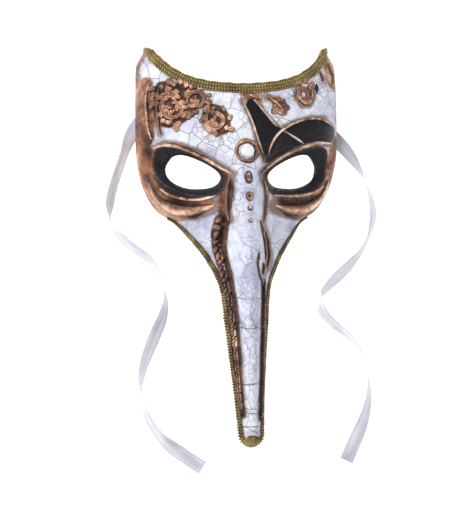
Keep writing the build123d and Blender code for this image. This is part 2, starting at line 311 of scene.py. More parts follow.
# ---------------------------------------------------------------- ties
RIBBON_WIDTH = 12 * MM
RIBBON_THICKNESS = 0.35 * MM
RIBBON_REST = 0.5 * MM               # height of the middle line where the ribbon lies flat
RIBBON_STEP = 1.1 * MM
RIBBON_CUP = 0.9 * MM
RIBBON_COLUMNS = 9
TABLE_GAP = 0.2 * MM
LEFT_RIBBON = [(-79, 113), (-90, 103), (-101, 72), (-111, 42), (-111, 18), (-96, 3), (-75, -11), (-63, -33),
               (-63, -57), (-75, -83), (-86, -112), (-83, -142), (-68, -166), (-48, -181), (-31, -192)]
RIGHT_RIBBON = [(79, 102), (90, 91), (100, 80), (114, 56), (122, 30), (116, 3), (99, -18), (81, -34),
                (72.5, -44), (74, -57), (84, -68), (103, -83), (115, -108), (116, -136), (108, -163),
                (96, -188)]
# how far the ribbon is turned on edge, in degrees, by its share of the length
LEFT_TURN = [(0.0, 0), (0.05, 10), (0.11, 45), (0.22, 44), (0.272, 81.5), (0.335, 124), (0.40, 118),
             (0.44, 99), (0.488, 81.5), (0.60, 24), (0.70, 50), (0.757, 81.5), (0.82, 112), (0.875, 130),
             (0.93, 180), (1.0, 180)]
RIGHT_TURN = [(0.0, 0), (0.05, 20), (0.10, 50), (0.17, 98.5), (0.26, 129), (0.335, 113), (0.44, 148),
              (0.50, 128), (0.527, 98.5), (0.56, 57), (0.61, 60), (0.69, 80), (0.755, 98.5), (0.86, 138),
              (0.95, 180), (1.0, 180)]


def satin():
    """White satin: threads across the ribbon, a woven selvedge, a faint lavender tint, and painted shade:
    greys, darker edges, and light and dark streaks along its length for its folds and their glints.
    """
    r = Recipe("white_satin", sheen_weight=0.35, sheen_roughness=0.3, specular_ior_level=0.4, anisotropic=0.5)
    uv = r.node("ShaderNodeUVMap", {"uv_map": "ribbon"})
    across = r.part(uv, "Y")
    edge = (across - 0.5).absolute().step(0.455, 0.48)
    threads = (r.part(uv, "X") * 14000.0).sine() * 0.5 + 0.5
    slubs = r.noise(1.0, 3.0, at=r.stretch(uv, (900.0, 14.0, 1.0)))
    cloud = r.noise(26.0, 2.0)
    # painted shade and glints: light and dark streaks along the ribbon stand for its folds
    fold_shade_and_glints = r.noise(1.0, 2.0, at=r.stretch(uv, (22.0, 2.2, 1.0)))
    level = cloud * 0.35 + fold_shade_and_glints * 0.45 + slubs * 0.2
    # the greys of this white satin are painted shade
    shade = r.ramp(level, (0.38, (0.43, 0.43, 0.47)), (0.5, (0.62, 0.62, 0.67)), (0.62, (0.80, 0.80, 0.84)))
    # darker selvedge: painted shade along the ribbon's edges, over the woven edge
    colour = r.mix(shade, (0.58, 0.58, 0.63), edge * 0.7)
    rough = 0.3 + slubs * 0.18 + edge * 0.25
    height = threads * 0.35 + slubs * 0.8 + edge * (across * 260.0).sine() * 0.6
    return r.finish(base_color=colour, roughness=rough, normal=r.bump(height, 0.00006, 0.7))


def add_ribbon(name, node, route, turn, hand):
    """A satin ribbon on its long edge in the bends and flat at its end, resting on the table."""
    line = spaced(curve_points([(x * MM, y * MM, 0.0) for x, y in route], order=3), RIBBON_STEP)
    share = np.linspace(0, 1, len(line))
    angle = np.radians(smooth_through(turn)(share)) * hand
    tangent, sideways = ways(line, (0, 0, 1))
    upright = np.sin(angle)[:, None]
    across = sideways * np.cos(angle)[:, None] + np.array((0, 0, 1)) * upright
    facing = np.cross(across, tangent)
    out_of_glue = np.clip(share / 0.06, 0, 1)
    line[:, 2] = RIBBON_REST + np.abs(upright[:, 0]) * RIBBON_WIDTH / 2 * out_of_glue
    points, uv = [], []
    for side in (0.5, -0.5):
        for i, at in enumerate(line):
            for c in np.linspace(-0.5, 0.5, RIBBON_COLUMNS):
                cup = (0.25 - c * c) * RIBBON_CUP * math.sin(9 * share[i] + 1)
                points.append(at + across[i] * c * RIBBON_WIDTH + facing[i] * (side * RIBBON_THICKNESS + cup))
                uv.append((share[i] * len(line) * RIBBON_STEP, c + 0.5))
    points = np.array(points)
    points[:, 2] = np.maximum(points[:, 2], TABLE_GAP)
    count, wide = len(line), RIBBON_COLUMNS
    back = count * wide
    faces = grid_faces(count, wide) + [face[::-1] for face in grid_faces(count, wide, back)]
    for i in range(count - 1):
        for a, b in ((i * wide, (i + 1) * wide), ((i + 2) * wide - 1, (i + 1) * wide - 1)):
            faces.append((a, b, b + back, a + back))
    for row, order in ((0, 1), (count - 1, -1)):
        for a in range(row * wide, row * wide + wide - 1):
            faces.append((a + 1, a, a + back, a + 1 + back)[::order])
    piece = add_mesh(name, points, faces, [satin_white])
    layer = piece.data.uv_layers.new(name="ribbon")
    layer.data.foreach_set("uv", [v for loop in piece.data.loops for v in uv[loop.vertex_index]])
    hand_in(piece, "satin_ribbon", node)


satin_white = satin()
add_ribbon("left_tie_satin", "left_ribbon", LEFT_RIBBON, LEFT_TURN, 1)
add_ribbon("right_tie_satin", "right_ribbon", RIGHT_RIBBON, RIGHT_TURN, -1)


# ---------------------------------------------------------------- the shell's surface
TOP_Y, TIP_Y, TIP_RADIUS = 170.0 * MM, -168.5 * MM, 10.0 * MM
WALL_FACE, WALL_NOSE = 3.0 * MM, 1.8 * MM
WALL_TAPER = 1.6             # the wall is at its full thickness 1 / 1.6 of the way up
ARCH_POWER = 2.2
# y, half width, rim height, ridge height, ridge bump height, bump half width, in millimetres
SECTIONS = [
    (170.0, 80.5, -0.6, 40.0, 0.0, 40.0),
    (155.0, 87.0, 0.2, 44.0, 0.0, 40.0),
    (138.0, 87.9, 2.6, 49.0, 1.0, 38.0),
    (110.0, 88.2, 4.2, 58.0, 4.0, 30.0),
    (83.0, 88.0, 4.2, 67.0, 12.0, 20.0),
    (60.0, 84.6, 2.5, 74.0, 21.0, 18.0),
    (42.0, 77.7, -0.2, 79.0, 29.0, 19.0),
    (29.5, 68.5, -0.8, 82.0, 36.0, 20.0),
    (21.5, 55.0, 5.0, 83.5, 39.0, 20.5),
    (9.0, 44.8, 21.0, 85.5, 42.0, 19.0),
    (-11.0, 31.2, 37.0, 87.0, 36.0, 16.5),
    (-37.0, 20.8, 47.5, 88.0, 30.0, 13.0),
    (-68.0, 17.8, 53.5, 88.5, 26.0, 11.5),
    (-98.0, 14.6, 59.5, 89.0, 18.0, 9.6),
    (-128.0, 12.0, 67.0, 88.5, 12.0, 8.2),
    (-168.5, 10.0, 77.0, 87.0, 3.0, 7.0),
]
half_width, rim_z, ridge_z, bump_z, bump_width = (
    smooth_through([(row[0] * MM, row[k] * MM) for row in SECTIONS]) for k in range(1, 6))
FOREHEAD_EDGE = [(0.0, 138.5), (22.0, 139.8), (44.0, 144.6), (60.0, 153.5), (70.0, 163.5), (76.0, 170.0)]
forehead_y = smooth_through([(x * MM, y * MM) for x, y in FOREHEAD_EDGE])
EYE_HOLE = [(66.0, 66.0), (61.0, 75.5), (52.0, 78.0), (38.5, 73.5), (25.0, 65.5),
            (20.5, 58.0), (27.5, 50.5), (46.0, 49.5), (60.0, 55.5)]
SOCKET_X, SOCKET_Y = 43.0 * MM, 65.0 * MM
SOCKET_LONG, SOCKET_SHORT = 36.0 * MM, 20.0 * MM
SOCKET_TILT = math.radians(-12.0)
SOCKET_DEPTH = 9.0 * MM
SOCKET_REACH, SOCKET_FADE = 1.12, 0.5        # where its slope starts and how wide it is, in half sizes


def tip_rounding(y):
    reach = np.maximum(0.0, TIP_Y + TIP_RADIUS - y) / TIP_RADIUS
    return np.sqrt(np.maximum(0.0, 1.0 - reach**2))


def socket_depth(x, y):
    dx, dy = np.abs(x) - SOCKET_X, y - SOCKET_Y
    u = (dx * math.cos(SOCKET_TILT) - dy * math.sin(SOCKET_TILT)) / SOCKET_LONG
    v = (dx * math.sin(SOCKET_TILT) + dy * math.cos(SOCKET_TILT)) / SOCKET_SHORT
    t = np.clip((SOCKET_REACH - np.hypot(u, v)) / SOCKET_FADE, 0, 1)
    return SOCKET_DEPTH * t * t * (3 - 2 * t)


def surface(side, y):
    """Points of the outer skin: side runs from -1 at the left rim over the ridge to 1 at the right."""
    end = tip_rounding(y)
    half = half_width(y) * np.maximum(end, 1e-4)
    x = half * np.sin(side * math.pi / 2)
    share = np.abs(x) / half
    arch = ridge_z(y) - rim_z(y) - bump_z(y)
    ridge = bump_z(y) * np.exp(-((x / (bump_width(y) * np.maximum(end, 0.2))) ** 2)) * (1 - share**4)
    rise = arch * np.maximum(0.0, 1 - share**ARCH_POWER) ** (1 / ARCH_POWER) + ridge
    return np.stack([x, y + 0 * x, rim_z(y) + end * rise - socket_depth(x, y)], axis=-1)


def surface_normal(side, y):
    """Outward normals of the skin, from short steps across and along it."""
    step, rise, past_top = 0.003, 0.3 * MM, 4 * MM
    across = surface(np.minimum(side + step, 1), y) - surface(np.maximum(side - step, -1), y)
    lower, upper = np.maximum(y - rise, TIP_Y), np.minimum(y + rise, TOP_Y + past_top)
    return unit(np.cross(across, surface(side, upper) - surface(side, lower)))


def side_at(x, y):
    return np.arcsin(np.clip(x / (half_width(y) * np.maximum(tip_rounding(y), 1e-4)), -1, 1)) * 2 / math.pi


def skin_at(x, y):
    """Points on the skin over plan positions, and its normals."""
    side = side_at(x, y)
    return surface(side, y), surface_normal(side, y)


def on_skin(plan, step=0.8 * MM):
    """Points on the skin and its normals along a smooth plan line, given in millimetres."""
    line = spaced(curve_points([(x * MM, y * MM, 0.0) for x, y in plan]), step)
    return skin_at(line[:, 0], line[:, 1])


def mirrored(points):
    return [(-x, y) for x, y in points]


# ---------------------------------------------------------------- plan shapes, for paint and cuts
def outline(points, count=160):
    """A closed smooth plan outline through the points, in metres."""
    knots = np.array(points, float) * MM
    n = len(knots)
    at = np.linspace(0, n, count, endpoint=False)
    i, t = at.astype(int), (at % 1)[:, None]
    a, b, c, d = (knots[(i + k) % n] for k in (-1, 0, 1, 2))
    return 0.5 * (2 * b + (c - a) * t + (2 * a - 5 * b + 4 * c - d) * t**2 + (3 * b - a - 3 * c + d) * t**3)


def nearest_on(line, plan, closed=True):
    """Distance from each plan point to the line, and the nearest point on it."""
    ends = np.roll(line, -1, axis=0) if closed else line[1:]
    starts = line if closed else line[:-1]
    best = np.full(len(plan), 1e9)
    found = np.zeros_like(plan)
    for a, b in zip(starts, ends):
        run = b - a
        t = np.clip((plan - a) @ run / max(run @ run, 1e-12), 0, 1)
        point = a + t[:, None] * run
        distance = np.linalg.norm(plan - point, axis=1)
        nearer = distance < best
        best[nearer], found[nearer] = distance[nearer], point[nearer]
    return best, found


def inside(line, plan):
    """Whether each plan point lies within the closed outline."""
    odd = np.zeros(len(plan), bool)
    for (ax, ay), (bx, by) in zip(line, np.roll(line, -1, axis=0)):
        if ay == by:
            continue
        crosses = (ay > plan[:, 1]) != (by > plan[:, 1])
        odd ^= crosses & (plan[:, 0] < (bx - ax) * (plan[:, 1] - ay) / (by - ay) + ax)
    return odd


def signed(line, plan):
    """Distance to the outline, negative within it."""
    return nearest_on(line, plan)[0] * np.where(inside(line, plan), -1, 1)


LEFT_RECESS = [(-76, 80), (-67, 86), (-52, 83), (-35, 75), (-20, 66), (-15, 58),
               (-21, 45), (-34, 40.5), (-50, 41), (-64, 46), (-74, 57)]
LEFT_CHEEK = [(-88, 92), (-80, 92), (-76, 80), (-73, 60), (-64, 47), (-50, 41), (-36, 41), (-28, 40),
              (-33, 29), (-42, 24), (-60, 21), (-74, 27), (-90, 50)]
PANEL = [(8, 126), (1, 120), (5, 108), (11, 90), (17, 71), (30, 76), (44, 84), (60, 89), (78, 89),
         (84, 100), (74, 108), (59, 110), (45, 105), (33, 100), (22, 110)]
HORN_PATCH = [(74, 168), (83, 173), (90, 160), (90, 134), (81, 136), (75, 146)]
CLUSTER = [(-72, 140), (-76, 122), (-72, 104), (-58, 102), (-44, 112), (-36, 126), (-42, 137), (-58, 141)]
RIGHT_CHEEK_DARK = [(42, 41), (58, 42), (72, 47), (74, 56), (80, 56), (76, 44), (62, 37), (46, 37)]
SIDE_LOOP = [(-86, 141), (-78, 143), (-75, 122), (-75, 100), (-79, 82), (-88, 84), (-89, 112)]
LEFT_BRIDGE = [(-22, 66), (-14, 63), (-12, 50), (-13, 34), (-19, 22), (-23, 30), (-22, 46)]
TOP_BRANCH = [(-3, 131), (16, 131), (14, 122), (6, 122)]
RIGHT_CLUSTER = [(46, 139), (62, 141), (63, 128), (56, 121), (48, 124)]
RIGHT_BRANCH = [(20, 127), (36, 125), (39, 113), (31, 112)]
SMALL_CLUSTER = [(-35, 118), (-34, 104), (-26, 95), (-15, 97), (-13, 108), (-18, 118), (-27, 122)]

# ---------------------------------------------------------------- relief lines: plan, width, rise
RELIEFS = {
    "left_upper_lid": ([(-76, 84), (-67.5, 88), (-52.5, 85.5), (-35, 77), (-21, 68), (-12, 61.5)], 3.6, 2.2),
    "right_upper_lid": ([(13, 62), (21, 69), (34, 77), (49, 86), (66, 89), (79, 88)], 3.4, 2.2),
    "left_nose_line": ([(-13.5, 57), (-18, 47), (-17, 30), (-15.5, 22)], 4.2, 1.8),
    "right_nose_line": ([(14.5, 57), (18, 47), (16, 30), (13.5, 20)], 3.6, 2.0),
    "left_lower_lid": ([(-70, 50), (-62, 43.5), (-50, 40), (-36, 39.5), (-25, 43)], 3.0, 2.0),
    "right_lower_lid": ([(25, 43), (38, 42), (51, 43), (63, 46), (72, 51)], 3.0, 2.0),
    "left_cheek_roll": ([(-78.5, 55), (-73.5, 42), (-64, 33.5), (-50, 29.5), (-37, 31), (-26, 35)],
                        12.0, 3.0),
    "right_cheek_roll": ([(27, 34.5), (38, 31), (51, 30.5), (64, 34.5), (73, 43), (78, 56)], 12.0, 3.0),
    "left_side_loop": ([(-78, 140), (-81, 131), (-81, 116), (-80, 103), (-77.5, 92)], 2.6, 1.6),
    "left_brow_line": ([(-70, 138), (-73.5, 126), (-73.5, 110), (-70, 96)], 2.6, 1.5),
    "panel_left_vein": ([(-2, 124), (3.5, 112.5), (8.5, 97), (11, 84.5), (16, 72)], 2.4, 1.6),
    "panel_long_vein": ([(19, 77), (22, 89), (31, 99), (45, 106), (59, 110), (73, 109), (80, 103)], 2.4, 1.7),
    "panel_upper_vein": ([(8, 125), (12.5, 120), (19, 110), (28, 101.5)], 2.4, 1.6),
    "panel_lower_vein": ([(34, 98), (43, 93.5), (52, 87.5)], 2.0, 1.4),
    "right_inner_scroll": ([(20, 127.5), (26, 124.5), (31, 119.5), (34, 115)], 4.0, 2.0),
    "right_outer_scroll": ([(48, 136), (47.5, 128), (52, 121.5), (58, 121.5), (61.5, 128), (61, 137)],
                           4.0, 2.2),
    "right_nose_scroll": ([(13.5, 17), (18.5, 6), (21, -6), (19, -17), (14.5, -22.5)], 4.6, 2.4),
    "right_nose_rope": ([(13.2, -30), (13.4, -48), (12.2, -70), (11, -94), (9.8, -120), (8, -145)], 3.2, 1.8),
}
LEFT_ROPE = [(-20.5, 22), (-22.5, 11), (-22.5, -2), (-19.5, -16), (-16.5, -30), (-13.8, -46),
             (-12.4, -62), (-11, -86), (-9.6, -112), (-8, -142)]
RIGHT_ROPE = RELIEFS["right_nose_rope"][0]
# half width of the dark ground along each rope, by y
LEFT_ROPE_REACH = [(-160 * MM, 2.2 * MM), (-90 * MM, 2.8 * MM), (-30 * MM, 4.2 * MM), (22 * MM, 6.0 * MM)]
RIGHT_ROPE_REACH = [(-160 * MM, 2.2 * MM), (-90 * MM, 2.4 * MM), (-30 * MM, 3.0 * MM), (0.0, 0.2 * MM)]
SCROLLS = {
    "left_large_scroll": ((-59.0, 118.0), 12.0, 4.2, 70.0, 1.15, 4.6, 2.6),
    "left_middle_scroll": ((-40.0, 124.5), 8.6, 3.6, 200.0, -1.1, 4.2, 2.4),
    "left_small_scroll": ((-24.5, 107.5), 9.4, 3.8, 120.0, 1.05, 4.4, 2.4),
}
STUDS = {
    "boss_dome": (0.0, 80.5, 6.4, 6.4, 2.8),
    "oval_stud": (0.0, 58.3, 3.6, 6.0, 2.6),
    "ring_stud": (0.0, 42.0, 3.5, 4.4, 2.4),
    "small_stud": (0.0, 32.0, 2.4, 2.4, 1.9),
    "nose_stud": (0.0, 21.5, 2.0, 2.0, 1.7),
    "diamond_stud": (66.0, 135.5, 2.6, 5.0, 1.6),
}


def spiral(centre, first, last, start, turns, count=22):
    share = np.linspace(0, 1, count)
    angle = np.radians(start + 360 * turns * share)
    radius = first + (last - first) * share
    return list(zip(centre[0] + radius * np.cos(angle), centre[1] + radius * np.sin(angle)))


# ---------------------------------------------------------------- paints
DARK = (0.022, 0.011, 0.008)
BROWN = (0.115, 0.048, 0.026)
COPPER = (0.33, 0.145, 0.078)
PALE_COPPER = (0.70, 0.44, 0.29)
BLACK = (0.007, 0.006, 0.008)
# a cream highlight painted on the crests of the copper paste
HIGHLIGHT = (0.88, 0.68, 0.52)
UMBER = (0.060, 0.032, 0.016)
NOSE_CRACKS = (-44.5, -69.5, -117.0, -140.0, -152.0)   # y of the cracks across the nose


def crackle_paint():
    """Lavender-white crackle over brown, washed with copper and black where the attributes say."""
    r = Recipe("crackle_paint", specular_ior_level=0.22)
    warped = r.warp(60.0, 0.006)
    fine_warp = r.warp(190.0, 0.003)
    wide_edge = r.cells(62.0, "DISTANCE_TO_EDGE", at=warped)
    fine_edge = r.cells(190.0, "DISTANCE_TO_EDGE", at=fine_warp)
    patchy = r.noise(22.0, 2.0)
    wide = wide_edge.step(0.022, 0.006) * patchy.step(0.36, 0.52)
    fine = fine_edge.step(0.055, 0.016) * r.noise(38.0, 2.0).step(0.42, 0.6) * 0.6
    crack = wide.high(fine)
    flake = r.cells(62.0, "F1", at=warped, output="Color")
    tone = r.noise(14.0, 4.0) * 0.6 + r.noise(95.0, 3.0) * 0.4
    white = r.ramp(tone, (0.34, (0.36, 0.37, 0.50)), (0.47, (0.58, 0.59, 0.70)), (0.60, (0.76, 0.77, 0.82)))
    white = r.mix(white, flake, 0.05, "SOFT_LIGHT")
    rub = r.noise(60.0, 5.0, 0.7)
    stain = (r.noise(34.0, 4.0, 0.65) * 0.5 + rub * 0.5).step(0.5, 0.66)
    colour = r.mix(white, (0.30, 0.21, 0.17), stain * 0.65)
    # antique wash round every relief, and the dark ground of the ropes beside the nose
    near = r.attribute("relief_distance") + (rub - 0.5) * 6.0
    colour = r.mix(colour, (0.20, 0.125, 0.09), near.step(3.4, 0.2) * 0.85)
    copper_level = r.noise(48.0, 5.0, 0.6) + (r.noise(20.0, 2.0) - 0.5) * 0.6
    copper_tone = r.ramp(copper_level, (0.30, DARK), (0.43, BROWN), (0.54, COPPER), (0.74, PALE_COPPER))
    copper_zone = (r.attribute("copper_distance") + (rub - 0.5) * 8.0).step(1.6, -1.6)
    rim_zone = (r.attribute("rim_distance") + (rub - 0.5) * 7.0).step(5.0, 1.5)
    copper = copper_zone.high(rim_zone * 0.9)
    colour = r.mix(colour, copper_tone, copper)
    crust = r.ramp(r.noise(150.0, 4.0, 0.7), (0.42, DARK), (0.60, BROWN), (0.80, COPPER))
    crust_zone = (r.attribute("crust_distance") + (rub - 0.5) * 4.0).step(1.0, -0.8)
    colour = r.mix(colour, crust, crust_zone)
    panel_zone = (r.attribute("panel_distance") + (rub - 0.5) * 2.4).step(0.7, -0.7)
    deep = r.attribute("recess_distance")
    recess = (deep + (rub - 0.5) * 3.0).step(0.9, -0.9)
    black = r.mix(BLACK, (0.018, 0.018, 0.025), r.noise(50.0, 4.0, 0.7).step(0.5, 0.75))
    pit = r.mix(r.mix(BROWN, DARK, rub), black, (deep + (rub - 0.5) * 4.0).step(-0.6, -3.4))
    colour = r.mix(colour, black, panel_zone)
    colour = r.mix(colour, pit, recess)
    dark_zone = panel_zone.high(recess)
    colour = r.mix(colour, (0.045, 0.028, 0.024), crack * (1.0 - dark_zone * 0.8) * 0.44)
    # a few long cracks run right across the nose
    split = r.part(r.warp(45.0, 0.009), "Y")
    across = (split - NOSE_CRACKS[0] * MM).absolute()
    for y in NOSE_CRACKS[1:]:
        across = across.low((split - y * MM).absolute())
    long_crack = across.step(0.00055, 0.0002) * r.noise(60.0, 2.0).step(0.36, 0.5)
    colour = r.mix(colour, (0.09, 0.075, 0.085), long_crack * (1.0 - crust_zone) * 0.7)
    smooth_dark = dark_zone * 0.16
    rough = 0.46 + rub * 0.22 - copper * 0.08 - smooth_dark
    height = r.noise(42.0, 5.0) * 1.3 + rub * 0.6 - crack * 1.1 - long_crack * 1.4
    return r.finish(base_color=colour, roughness=rough, metallic=copper * (1.0 - dark_zone) * 0.35,
                    normal=r.bump(height, 0.0008, 0.85))


def raw_paper():
    """The unpainted inside: overlapping strips of grey-white paper in glue."""
    r = Recipe("raw_paper", specular_ior_level=0.3)
    laid = r.stretch(r.warp(40.0, 0.01), (1.0, 0.45, 1.0))
    strips = r.cells(38.0, at=laid, output="Color")
    edges = r.cells(38.0, "DISTANCE_TO_EDGE", at=laid)
    fibre = r.noise(420.0, 4.0, 0.7)
    colour = r.ramp(r.noise(30.0, 4.0), (0.3, (0.52, 0.49, 0.44)), (0.7, (0.70, 0.67, 0.61)))
    colour = r.mix(colour, strips, 0.10, "SOFT_LIGHT")
    colour = r.mix(colour, (0.34, 0.30, 0.26), edges.step(0.05, 0.01) * 0.5)
    height = fibre * 0.4 + edges.step(0.0, 0.09) * 0.9 + r.noise(60.0, 4.0)
    return r.finish(base_color=colour, roughness=0.72 + fibre * 0.2, normal=r.bump(height, 0.0006, 0.8))


def copper_paste(name, grime):
    """Relief paste rubbed with copper: dark in the creases, and pale on the crests from the rubbing and a
    painted highlight, less so under grime.
    """
    r = Recipe(name, specular_ior_level=0.5)
    crest = r.attribute("crest")
    grain = r.noise(240.0, 5.0, 0.7)
    lumps = r.noise(52.0, 3.0)
    # painted highlight: the higher a point sits on its crest, the paler its copper, up to the cream
    # HIGHLIGHT, on top of the rubbing
    level = crest.power(1.8) * 0.74 + (grain - 0.5) * 0.7 + (lumps - 0.5) * 1.2 + 0.06 - grime
    colour = r.ramp(level, (0.2, DARK), (0.38, BROWN), (0.60, COPPER), (0.78, PALE_COPPER), (0.95, HIGHLIGHT))
    rough = 0.44 - level * 0.14 + grain * 0.14
    return r.finish(base_color=colour, roughness=rough, metallic=level.step(0.35, 0.8) * 0.45,
                    normal=r.bump(grain + lumps * 0.6, 0.0006, 0.9))


def cream_paste():
    """The same paste rubbed mostly cream: the lids and the veins of the black panel."""
    r = Recipe("cream_paste", specular_ior_level=0.45)
    crest = r.attribute("crest")
    grain = r.noise(210.0, 5.0, 0.7)
    level = crest * 0.44 + (grain - 0.5) * 0.8 + (r.noise(45.0, 3.0) - 0.5) * 0.9 + 0.2
    colour = r.ramp(level, (0.22, DARK), (0.42, BROWN), (0.56, (0.42, 0.25, 0.165)),
                    (0.85, (0.80, 0.70, 0.62)))
    return r.finish(base_color=colour, roughness=0.56 - level * 0.12, metallic=level.step(0.8, 0.4) * 0.3,
                    normal=r.bump(grain, 0.0006, 0.9))


def gold_thread(name, grime):
    """Metal thread of the gimp braid, tarnished in the hollows and browned by grime."""
    r = Recipe(name, specular_ior_level=0.6)
    tarnish = r.noise(85.0, 4.0, 0.6)
    wrap = r.noise(900.0, 2.0)
    level = tarnish * 0.5 + wrap * 0.2 + r.attribute("crest") * 0.3
    colour = r.ramp(level, (0.3, (0.026, 0.018, 0.008)), (0.48, (0.155, 0.108, 0.035)),
                    (0.76, (0.52, 0.40, 0.15)))
    colour = r.mix(colour, UMBER, r.noise(70.0, 4.0, 0.7).step(0.36, 0.6) * grime)
    return r.finish(base_color=colour, roughness=0.34 + wrap * 0.28, metallic=0.55 + tarnish * 0.35,
                    normal=r.bump(wrap, 0.0003, 0.8))


def braid_ground():
    """The dark woven band under the braid's grains."""
    r = Recipe("braid_ground")
    weave = r.cells(900.0)
    level = weave * 0.6 + r.noise(200.0) * 0.4
    colour = r.ramp(level, (0.25, (0.035, 0.022, 0.008)), (0.7, (0.16, 0.105, 0.035)))
    return r.finish(base_color=colour, roughness=0.6 + weave * 0.2, normal=r.bump(weave, 0.0003, 0.7))


def white_dome():
    r = Recipe("white_dome_gloss", coat_weight=0.6, coat_roughness=0.08, specular_ior_level=0.5)
    cloud = r.noise(130.0, 3.0)
    colour = r.ramp(cloud, (0.35, (0.66, 0.63, 0.62)), (0.65, (0.84, 0.82, 0.81)))
    edge = r.attribute("crest").step(0.3, 0.0)
    colour = r.mix(colour, (0.25, 0.16, 0.12), edge * 0.7)
    return r.finish(base_color=colour, roughness=0.16 + cloud * 0.12, normal=r.bump(cloud, 0.0004, 0.5))


def black_gloss():
    r = Recipe("black_gloss", specular_ior_level=0.5)
    wear = r.noise(160.0, 4.0, 0.7)
    colour = r.mix(BLACK, (0.20, 0.13, 0.10), wear.step(0.55, 0.75))
    return r.finish(base_color=colour, roughness=0.32 + wear * 0.25, normal=r.bump(wear, 0.0004, 0.6))


def glue():
    r = Recipe("set_glue", coat_weight=0.3, coat_roughness=0.2, subsurface_weight=0.15,
               subsurface_scale=3 * MM)
    cloud = r.noise(150.0, 3.0)
    colour = r.ramp(cloud, (0.3, (0.62, 0.56, 0.42)), (0.7, (0.80, 0.76, 0.64)))
    return r.finish(base_color=colour, roughness=0.25 + cloud * 0.25, normal=r.bump(cloud, 0.0006, 0.6))


paint = crackle_paint()
paper = raw_paper()
copper = copper_paste("copper_paste", 0.0)
aged_copper = copper_paste("aged_copper_paste", 0.22)
cream = cream_paste()
gold = gold_thread("gold_thread", 0.25)
grimy_gold = gold_thread("grimy_gold_thread", 0.85)
ground = braid_ground()


# ---------------------------------------------------------------- shell
COLUMNS, ROWS, TIP_ROWS = 181, 236, 12
EDGE_BLEND_Y = 60 * MM       # rows above this one lean towards the forehead edge
EYE_SNAP = 6 * MM            # grid points this near an eye hole's outline are drawn onto it
RIM_PAINT_END = 40 * MM      # y below which the rim isn't rubbed with copper
RIM_UNDER_BRAID = 4 * MM
NO_RIM = 20 * MM
RIM_GAP = 0.1 * MM           # between the rim and the table
HORN_SLOPE = 10 / 19         # of the forehead edge past the horn tips
LAST_TIP_ANGLE = math.radians(86)
SETTLING_ROUNDS = 40
EYE_LINES = [outline(EYE_HOLE), outline(mirrored(EYE_HOLE))]


def wall_at(y):
    return WALL_NOSE + (WALL_FACE - WALL_NOSE) * np.minimum(1.0, (y - TIP_Y) / (TOP_Y - TIP_Y) * WALL_TAPER)


def edge_height(x):
    """y of the forehead edge, carried on in a straight line past the horn tips."""
    past = np.maximum(0, np.abs(x) - FOREHEAD_EDGE[-1][0] * MM)
    return forehead_y(np.abs(x)) + past * HORN_SLOPE


def column_tops(side):
    """y at which each column of the grid meets the forehead edge, by halving steps towards it."""
    y = np.full_like(side, forehead_y(0.0))
    for _ in range(SETTLING_ROUNDS):
        y = 0.5 * y + 0.5 * edge_height(half_width(y) * np.sin(side * math.pi / 2))
    return y


def relief_plan_lines():
    """Every relief's centre line in plan and half its width, for the wash round it."""
    lines = [(np.array(plan, float) * MM, width / 2 * MM) for plan, width, _ in RELIEFS.values()]
    lines.append((np.array(LEFT_ROPE, float) * MM, 2 * MM))
    for centre, first, last, start, turns, width, _ in SCROLLS.values():
        lines.append((np.array(spiral(centre, first, last, start, turns)) * MM, width / 2 * MM))
    return lines


def shell_paint_distances(plan):
    """Signed distances to the painted zones at each plan point, in metres, less than 0 within them."""
    def to_zones(*zones):
        return np.min([signed(outline(zone), plan) for zone in zones], axis=0)

    y = plan[:, 1]
    ropes = [nearest_on(np.array(line, float) * MM, plan, closed=False)[0] - smooth_through(reach)(y)
             for line, reach in ((LEFT_ROPE, LEFT_ROPE_REACH), (RIGHT_ROPE, RIGHT_ROPE_REACH))]
    side_band = half_width(y) - np.abs(plan[:, 0])
    top_band = edge_height(plan[:, 0]) - y - RIM_UNDER_BRAID
    reliefs = [nearest_on(line, plan, closed=False)[0] - half for line, half in relief_plan_lines()]
    return {
        "panel": to_zones(PANEL),
        "recess": to_zones(LEFT_RECESS, mirrored(LEFT_RECESS)),
        "copper": to_zones(LEFT_CHEEK, mirrored(LEFT_CHEEK), HORN_PATCH, SIDE_LOOP, LEFT_BRIDGE, TOP_BRANCH),
        "crust": np.minimum(np.min(ropes, axis=0), to_zones(CLUSTER, SMALL_CLUSTER, RIGHT_CHEEK_DARK)),
        "rim": np.where(y > RIM_PAINT_END, np.minimum(side_band, top_band), NO_RIM),
        "relief": np.min(reliefs, axis=0),
    }


def shell_plan():
    """The skin's grid in plan, leaning to the forehead edge and drawn onto the eye holes, and its faces."""
    side = np.linspace(-1, 1, COLUMNS)
    straight_end = TIP_Y + TIP_RADIUS
    tip = straight_end - TIP_RADIUS * np.sin(np.linspace(0, LAST_TIP_ANGLE, TIP_ROWS + 1)[1:])
    base = np.concatenate((np.linspace(TOP_Y, straight_end, ROWS), tip))
    lean = np.clip((base - EDGE_BLEND_Y) / (TOP_Y - EDGE_BLEND_Y), 0, 1) ** 2
    y = (base[:, None] + (column_tops(side)[None, :] - TOP_Y) * lean[:, None]).ravel()
    x = surface(np.tile(side, len(base)), y)[:, 0]
    plan = np.stack([x, y], axis=1)
    hole = inside(EYE_LINES[0], plan) | inside(EYE_LINES[1], plan)
    faces = [f for f in grid_faces(len(base), COLUMNS) if not any(hole[v] for v in f)]
    edges = {(a, b) for f in faces for a, b in zip(f, f[1:] + f[:1])}
    border = sorted((a, b) for a, b in edges if (b, a) not in edges)
    ragged = np.array(sorted({v for edge in border for v in edge}))
    for line in EYE_LINES:
        distance, nearest = nearest_on(line, plan[ragged])
        close = distance < EYE_SNAP
        plan[ragged[close]] = nearest[close]
    return plan, faces, border


